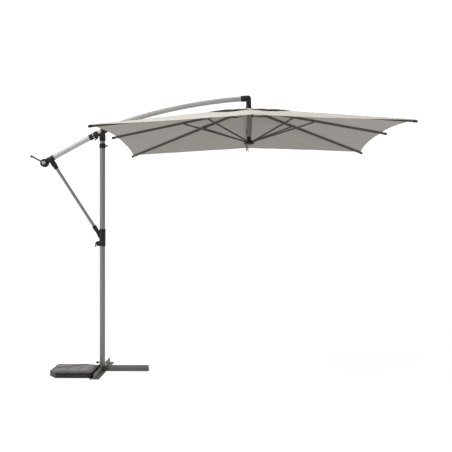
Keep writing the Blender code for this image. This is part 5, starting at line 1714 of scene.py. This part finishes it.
@dataclass
class Canopy:
    """The canvas: eight gores, each over its own rib and sewn to its neighbours, and the vent above."""

    hub: Hub
    rise: float = 0.0108
    thick: float = 0.0012
    wrinkle: float = 0.0022
    columns: int = 26
    pitch: float = 0.012  # from stitch to stitch, drawn three times as long as real
    row: float = 0.0046  # how far each of a seam's two rows is from its middle
    hem_row: float = 0.0180  # how far the hem's row is from its edge
    bar: Pair = (0.15, 0.80)  # the share of the pitch where a stitch starts and ends
    tiers: tuple[ClothCut, ...] = (
        ClothCut("gore", "canopy", 1.234, 1.236, (0.018, 0.032), 0.225, 0.0, 0.0, 0.007, 30),
        ClothCut("vent_gore", "vent_cap", 0.360, 0.360, (0.0, 0.0), 0.038, 0.004, 0.011, 0.0, 16))

    def on_rib(self, cut: ClothCut, index: int, out: float, scalloped: float) -> Vector:
        """The cloth's underside over a rib, in the hub's frame.

        Args:
            cut: the tier.
            index: the rib.
            out: from 0 at the inner edge to 1 at the hem.
            scalloped: the hem's reach between the ribs, as a share of its reach over them.

        Returns:
            The point.
        """
        index %= 8
        inner = cut.inner * (DIAGONAL if index % 2 else 1.0)
        hem = cut.corner_hem * DIAGONAL if index % 2 else cut.side_hem
        radius = inner + (hem * scalloped - inner) * out
        angle = self.hub.azimuth(index)
        height = self.hub.height(index, radius) + self.rise + cut.lift * out
        return Vector((radius * math.cos(angle), radius * math.sin(angle), height))

    def scallop(self, cut: ClothCut, index: int, step: int) -> float:
        """How far the hem draws in halfway to the next rib, as a share of its reach."""
        mast_side, far_side = cut.scallop
        return mast_side + (far_side - mast_side) * (0.5 + 0.5 * math.cos(self.hub.azimuth(index + step / 2)))

    def flat_size(self, cut: ClothCut, index: int) -> tuple[Pair, float]:
        """What a gore is cut to, from the ribs' lengths and the gaps between them alone.

        The cut is straight along the rib and halfway to the next ones; sag, folds and the vent's lift
        come later and are not in it.

        Args:
            cut: the tier.
            index: the rib that the gore lies over.

        Returns:
            Its width and length, and its area.
        """
        level = replace(cut, lift=0.0)
        inner, tip = (self.on_rib(level, index, out, 1.0) for out in (0.0, 1.0))
        area, halfway = 0.0, []
        for step in (-1, 1):
            near, far = ((here + self.on_rib(level, index + step, out, 1.0)) / 2.0
                         for out, here in ((0.0, inner), (1.0, tip)))
            area += ((tip - inner).cross(far - inner).length + (far - inner).cross(near - inner).length) / 2.0
            # A hem drawn in along a parabola loses two thirds of its depth times its length.
            area -= self.scallop(cut, index, step) * tip.cross(far).length * 2.0 / 3.0
            halfway.append(far)
        return ((halfway[1] - halfway[0]).length, (tip - inner).length), area

    def point(self, cut: ClothCut, index: int, aside: float, out: float) -> Vector:
        """The cloth's underside beside a rib, in the hub's frame.

        Args:
            cut: the tier.
            index: the rib.
            aside: from -0.5 to 0.5, where 1 would be the next rib.
            out: from 0 at the inner edge to 1 at the hem.

        Returns:
            The point.
        """
        share, step = abs(aside), 1 if aside >= 0.0 else -1
        between = 4.0 * share * (1.0 - share)
        scalloped = 1.0 - self.scallop(cut, index, step) * between
        here = self.on_rib(cut, index, out, scalloped)
        there = self.on_rib(cut, index + step, out, scalloped)
        place = here.lerp(there, share)
        gap = (there - here).length
        free = smooth_step((share * gap - 0.020) / max(0.010, min(0.12, gap * 0.5 - 0.020)))
        place.z -= cut.sag * between * free
        place.z += cut.wave * between * out * out
        around = Vector((place.x, place.y, 0.0)).normalized()
        folds = noise.noise(Vector((around.x * 7.0, around.y * 7.0, place.xy.length * 2.6 + 4.0)))
        crease = noise.noise(Vector((place.x * 11.0, place.y * 11.0, 9.0)))
        place.z += self.wrinkle * free * (folds + 0.5 * crease) * min(1.0, 0.4 + out)
        if cut.wave > 0.0:
            flutter = noise.noise(Vector((around.x * 3.2, around.y * 3.2, 2.0)))
            place.z += 0.010 * flutter * out ** 3 * free
        return place

    def hem_rows(self, cut: ClothCut, index: int) -> list[tuple[float, float]]:
        """Rows from the inner edge to the hem, as how far out and how much the hem thickens them.

        Args:
            cut: the tier.
            index: the rib.

        Returns:
            The rows.
        """
        length = (self.on_rib(cut, index, 1.0, 1.0) - self.on_rib(cut, index, 0.0, 1.0)).length
        hem = ((0.0225, 0.0), (0.0205, 0.0006), (0.0188, 0.0007), (0.0180, 0.0003), (0.0172, 0.0007),
               (0.0090, 0.0008), (0.0015, 0.0006), (0.0, 0.0))
        limit = 1.0 - 0.0250 / length
        rows = [(limit * i / cut.rows, 0.0) for i in range(cut.rows + 1)]
        return rows + [(1.0 - back / length, extra) for back, extra in hem]

    def gore(self, cut: ClothCut, index: int) -> bpy.types.Mesh:
        """One gore, with its face on top and its underside below, which is painted darker as painted shade.

        Args:
            cut: the tier.
            index: the rib that it lies over.

        Returns:
            The mesh, whose second material is the underside's painted shade.
        """
        draft, matrix = Draft(), self.hub.frame()
        asides = [i / self.columns - 0.5 for i in range(self.columns + 1)]
        layers: list[list[list[bmesh.types.BMVert]]] = [[], []]
        rows = self.hem_rows(cut, index)
        spots = [[self.point(cut, index, aside, out) for aside in asides] for out, _ in rows]
        for line, (_, extra) in zip(spots, rows):
            for layer, offset in zip(layers, (self.thick + extra, -extra * 0.6)):
                layer.append([draft.vert(matrix @ (p + Vector((0.0, 0.0, offset))))
                              for p in line])
        last = len(rows) - 1
        for side, layer in enumerate(layers):
            for i in range(last):
                for j in range(self.columns):
                    corners = (layer[i][j], layer[i + 1][j], layer[i + 1][j + 1], layer[i][j + 1])
                    draft.face(corners).material_index = side
        top, low = layers
        for i in range(last):
            draft.face((top[i][0], top[i + 1][0], low[i + 1][0], low[i][0]))
            draft.face((top[i][-1], top[i + 1][-1], low[i + 1][-1], low[i][-1]))
        for i in (0, last):
            for j in range(self.columns):
                draft.face((top[i][j], top[i][j + 1], low[i][j + 1], low[i][j]))
        return draft.mesh(cut.name, 50.0)

    def seam(self, cut: ClothCut, index: int) -> bpy.types.Object:
        """The felled seam over a rib.

        Args:
            cut: the tier.
            index: the rib.

        Returns:
            The piece.
        """
        draft, matrix = Draft(), self.hub.frame()
        rows, half = [out for out, _ in self.hem_rows(cut, index)], 0.007
        turn = Matrix.Rotation(self.hub.azimuth(index), 4, "Z")
        section = ((-half, -0.0002), (-half + 0.0006, 0.0008), (-0.0052, 0.0009), (0.0, 0.0011),
                   (0.0052, 0.0009), (half - 0.0006, 0.0008), (half, -0.0002))
        lines = []
        for out in rows:
            here = self.point(cut, index, 0.0, out)
            lines.append([draft.vert(matrix @ (here + turn @ Vector((0.0, y, self.thick + z))))
                          for y, z in section])
        for first, second in zip(lines, lines[1:]):
            for j in range(len(section)):
                k = (j + 1) % len(section)
                draft.face((first[j], first[k], second[k], second[j]))
        for line in (lines[0], lines[-1]):
            draft.face(line)
        return fit(f"{cut.name}_{RIB_SIDES[index]}_seam", draft.mesh("seam", 60.0), FACE,
                   f"rib_{RIB_SIDES[index]}")

    def stitches(self, cut: ClothCut, index: int) -> bpy.types.Object:
        """The seam's two rows and the hem's row. Stitches of 4 mm are drawn 12 mm apart.

        Args:
            cut: the tier.
            index: the rib.

        Returns:
            The piece.
        """
        draft, matrix = Draft(), self.hub.frame()
        turn = Matrix.Rotation(self.hub.azimuth(index), 4, "Z")
        begin, end = self.point(cut, index, 0.0, 0.0), self.point(cut, index, 0.0, 1.0)
        length = (end - begin).length
        count = int(length / self.pitch)
        for side in (-self.row, self.row):
            for i in range(count):
                first, second = (self.point(cut, index, 0.0, (i + share) / count) for share in self.bar)
                aside = turn @ Vector((0.0, side, self.thick + 0.0009))
                self.stitch(draft, matrix @ (first + aside), matrix @ (second + aside))
        width = sum((self.point(cut, index, (i + 1) / 16 - 0.5, 1.0)
                     - self.point(cut, index, i / 16 - 0.5, 1.0)).length for i in range(16))
        count, out = int(width / self.pitch), 1.0 - self.hem_row / length
        raised = Vector((0.0, 0.0, self.thick + 0.0004))
        for i in range(count):
            first, second = (self.point(cut, index, (i + share) / count - 0.5, out) + raised
                             for share in self.bar)
            self.stitch(draft, matrix @ first, matrix @ second)
        name = f"{cut.name}_{RIB_SIDES[index]}_stitches"
        return fit(name, draft.mesh("stitches", 60.0), THREAD, f"rib_{RIB_SIDES[index]}")

    def stitch(self, draft: Draft, start: Vector, end: Vector) -> None:
        """One stitch: a low ridge of thread from start to end.

        Args:
            draft: where it is drawn.
            start: where it starts.
            end: where it ends.
        """
        along = (end - start).normalized()
        aside = along.cross(Vector(UP)).normalized() * 0.0006
        up = Vector((0.0, 0.0, 0.0005))
        base = [draft.vert(p) for p in (start - aside, start + aside, end + aside, end - aside)]
        ridge = [draft.vert(p + up) for p in (start + along * 0.0012, end - along * 0.0012)]
        for corners in ((base[0], base[1], ridge[0]), (base[2], base[3], ridge[1]),
                        (base[1], base[2], ridge[1], ridge[0]), (base[3], base[0], ridge[0], ridge[1]),
                        (base[3], base[2], base[1], base[0])):
            draft.face(corners)

    def patch(self, cut: ClothCut, index: int) -> bpy.types.Object:
        """The doubled patch where the hem is held at the rib's tip.

        Args:
            cut: the tier.
            index: the rib.

        Returns:
            The piece.
        """
        draft, matrix = Draft(), self.hub.frame()
        gap = (self.on_rib(cut, index + 1, 1.0, 1.0) - self.on_rib(cut, index, 1.0, 1.0)).length
        length = (self.on_rib(cut, index, 1.0, 1.0) - self.on_rib(cut, index, 0.0, 1.0)).length
        lines = []
        for i in range(10):
            share = i / 9.0
            half = 0.034 * math.sqrt(max(0.02, 1.0 - (1.0 - share) ** 2)) / gap
            out = 1.0 - (0.075 - 0.073 * share) / length
            line = [self.point(cut, index, half * (j / 4.0 - 1.0), out) for j in range(9)]
            lines.append([[draft.vert(matrix @ (p + Vector((0.0, 0.0, self.thick + up))))
                           for p in line] for up in (0.0, 0.0010 if 0 < i < 9 else 0.0006)])
        for first, second in zip(lines, lines[1:]):
            for layer in (0, 1):
                for j in range(8):
                    draft.face((first[layer][j], first[layer][j + 1], second[layer][j + 1],
                                          second[layer][j]))
            for j in (0, 8):
                draft.face((first[0][j], first[1][j], second[1][j], second[0][j]))
        for line in (lines[0], lines[-1]):
            for j in range(8):
                draft.face((line[0][j], line[0][j + 1], line[1][j + 1], line[1][j]))
        return fit(f"{cut.name}_{RIB_SIDES[index]}_patch", draft.mesh("patch", 60.0), FACE,
                   f"rib_{RIB_SIDES[index]}")

    def build(self) -> None:
        """Sews both tiers over the ribs."""
        hub = self.hub.frame()
        for cut in self.tiers:
            for i, side in enumerate(RIB_SIDES):
                mesh, (flat, area) = self.gore(cut, i), self.flat_size(cut, i)
                LOG.info("%s %s is cut %.3f x %.3f m, %.3f square metres", cut.name, side, *flat, area)
                piece = fit(f"{cut.name}_{side}", mesh, FACE, f"rib_{side}", (cut.node,))
                # The underside's material is the canvas painted darker: painted shade.
                mesh.materials.append(UNDERSIDE_PAINTED_SHADE.material())
                sewn = [self.seam(cut, i), self.stitches(cut, i)]
                if cut.node == "canopy":
                    sewn.append(self.patch(cut, i))
                angle = self.hub.azimuth(i)
                for soft in (piece, *sewn):
                    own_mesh(soft)


# ---- studio

@dataclass
class Studio:
    """A pale floor, four pale walls, soft light from the upper left and the camera."""

    eye: tuple[float, float, float] = (1.222, -7.065, 1.3215)
    lens: float = 60.8
    turn: float = 0.62  # degrees to the left
    tilt: float = 0.13  # degrees up
    half: float = 14.0  # from the middle of the floor to each wall
    height: float = 12.0
    glow: tuple[tuple[str, float], ...] = (("front", 0.42), ("right", 0.45), ("back", 0.99), ("left", 0.90))

    def camera(self) -> None:
        """The camera, level and nearly square to the boom."""
        data = bpy.data.cameras.new("camera")
        data.lens, data.sensor_width = self.lens, 36.0
        camera = bpy.data.objects.new("camera", data)
        camera.location = self.eye
        camera.rotation_euler = (math.radians(90.0 + self.tilt), 0.0, math.radians(self.turn))
        bpy.context.scene.collection.objects.link(camera)
        bpy.context.scene.camera = camera

    def lamp(self, name: str, place: Sequence[float], target: Sequence[float], size: float,
             power: float) -> None:
        """A square area lamp.

        Args:
            name: its name.
            place: where it hangs.
            target: the point it faces.
            size: its side.
            power: its watts.
        """
        data = bpy.data.lights.new(name, "AREA")
        data.shape, data.size, data.energy = "SQUARE", size, power
        lamp = bpy.data.objects.new(name, data)
        lamp.location = place
        lamp.rotation_euler = (Vector(target) - Vector(place)).to_track_quat("-Z", "Y").to_euler()
        bpy.context.scene.collection.objects.link(lamp)

    def sheet(self, name: str, colour: str, glow: float, corners: Sequence[Sequence[float]]) -> None:
        """A flat stage sheet that glows a little, so that it stays pale.

        Args:
            name: its name.
            colour: its colour.
            glow: the strength of its own light.
            corners: its four corners.
        """
        mesh = bpy.data.meshes.new(name)
        mesh.from_pydata([tuple(c) for c in corners], [], [(0, 1, 2, 3)])
        paper = bpy.data.materials.new(name)
        paper.use_nodes = True
        shader = paper.node_tree.nodes["Principled BSDF"]
        shader.inputs["Base Color"].default_value = linear(colour)
        shader.inputs["Roughness"].default_value = 0.95
        shader.inputs["Emission Color"].default_value = (1.0, 1.0, 1.0, 1.0)
        shader.inputs["Emission Strength"].default_value = glow
        mesh.materials.append(paper)
        obj = bpy.data.objects.new(name, mesh)
        bpy.context.scene.collection.objects.link(obj)

    def build(self) -> None:
        """Sets the stage, the lights and the world."""
        bpy.context.scene.view_settings.view_transform = "Standard"
        world = bpy.data.worlds.new("studio")
        world.use_nodes = True
        surround = world.node_tree.nodes["Background"]
        surround.inputs["Color"].default_value = (1.0, 1.0, 1.0, 1.0)
        surround.inputs["Strength"].default_value = 0.16
        bpy.context.scene.world = world
        corners = [(x * self.half, y * self.half) for x, y in ((-1, -1), (1, -1), (1, 1), (-1, 1))]
        self.sheet("pale floor", "#A0A0A0", 0.80, [(x, y, 0.0) for x, y in corners])
        for (name, glow), first, second in zip(self.glow, corners, corners[1:] + corners[:1]):
            self.sheet(f"pale {name} wall", "#606060", glow,
                       ((*first, 0.0), (*second, 0.0), (*second, self.height), (*first, self.height)))
        self.lamp("key", (-4.0, -3.2, 7.0), (0.7, 0.0, 1.5), 3.0, 330.0)
        self.lamp("top", (0.4, 0.0, 8.5), (0.6, 0.0, 1.5), 6.0, 150.0)


def main() -> None:
    """Builds the parasol from the ground up."""
    logging.basicConfig(level=logging.INFO, format="%(name)s: %(message)s")
    studio, line = Studio(), BoomLine()
    hub = Hub(line)
    studio.camera()
    RopeTail(hub).build()
    for assembly in (Foot(), Slab(), Mast(), Boom(line, hub), Crank(line), Stay(), CanopyFrame(hub),
                     Canopy(hub)):
        LOG.info("building %s", type(assembly).__name__)
        assembly.build()
    studio.build()


if __name__ == "__main__":
    main()
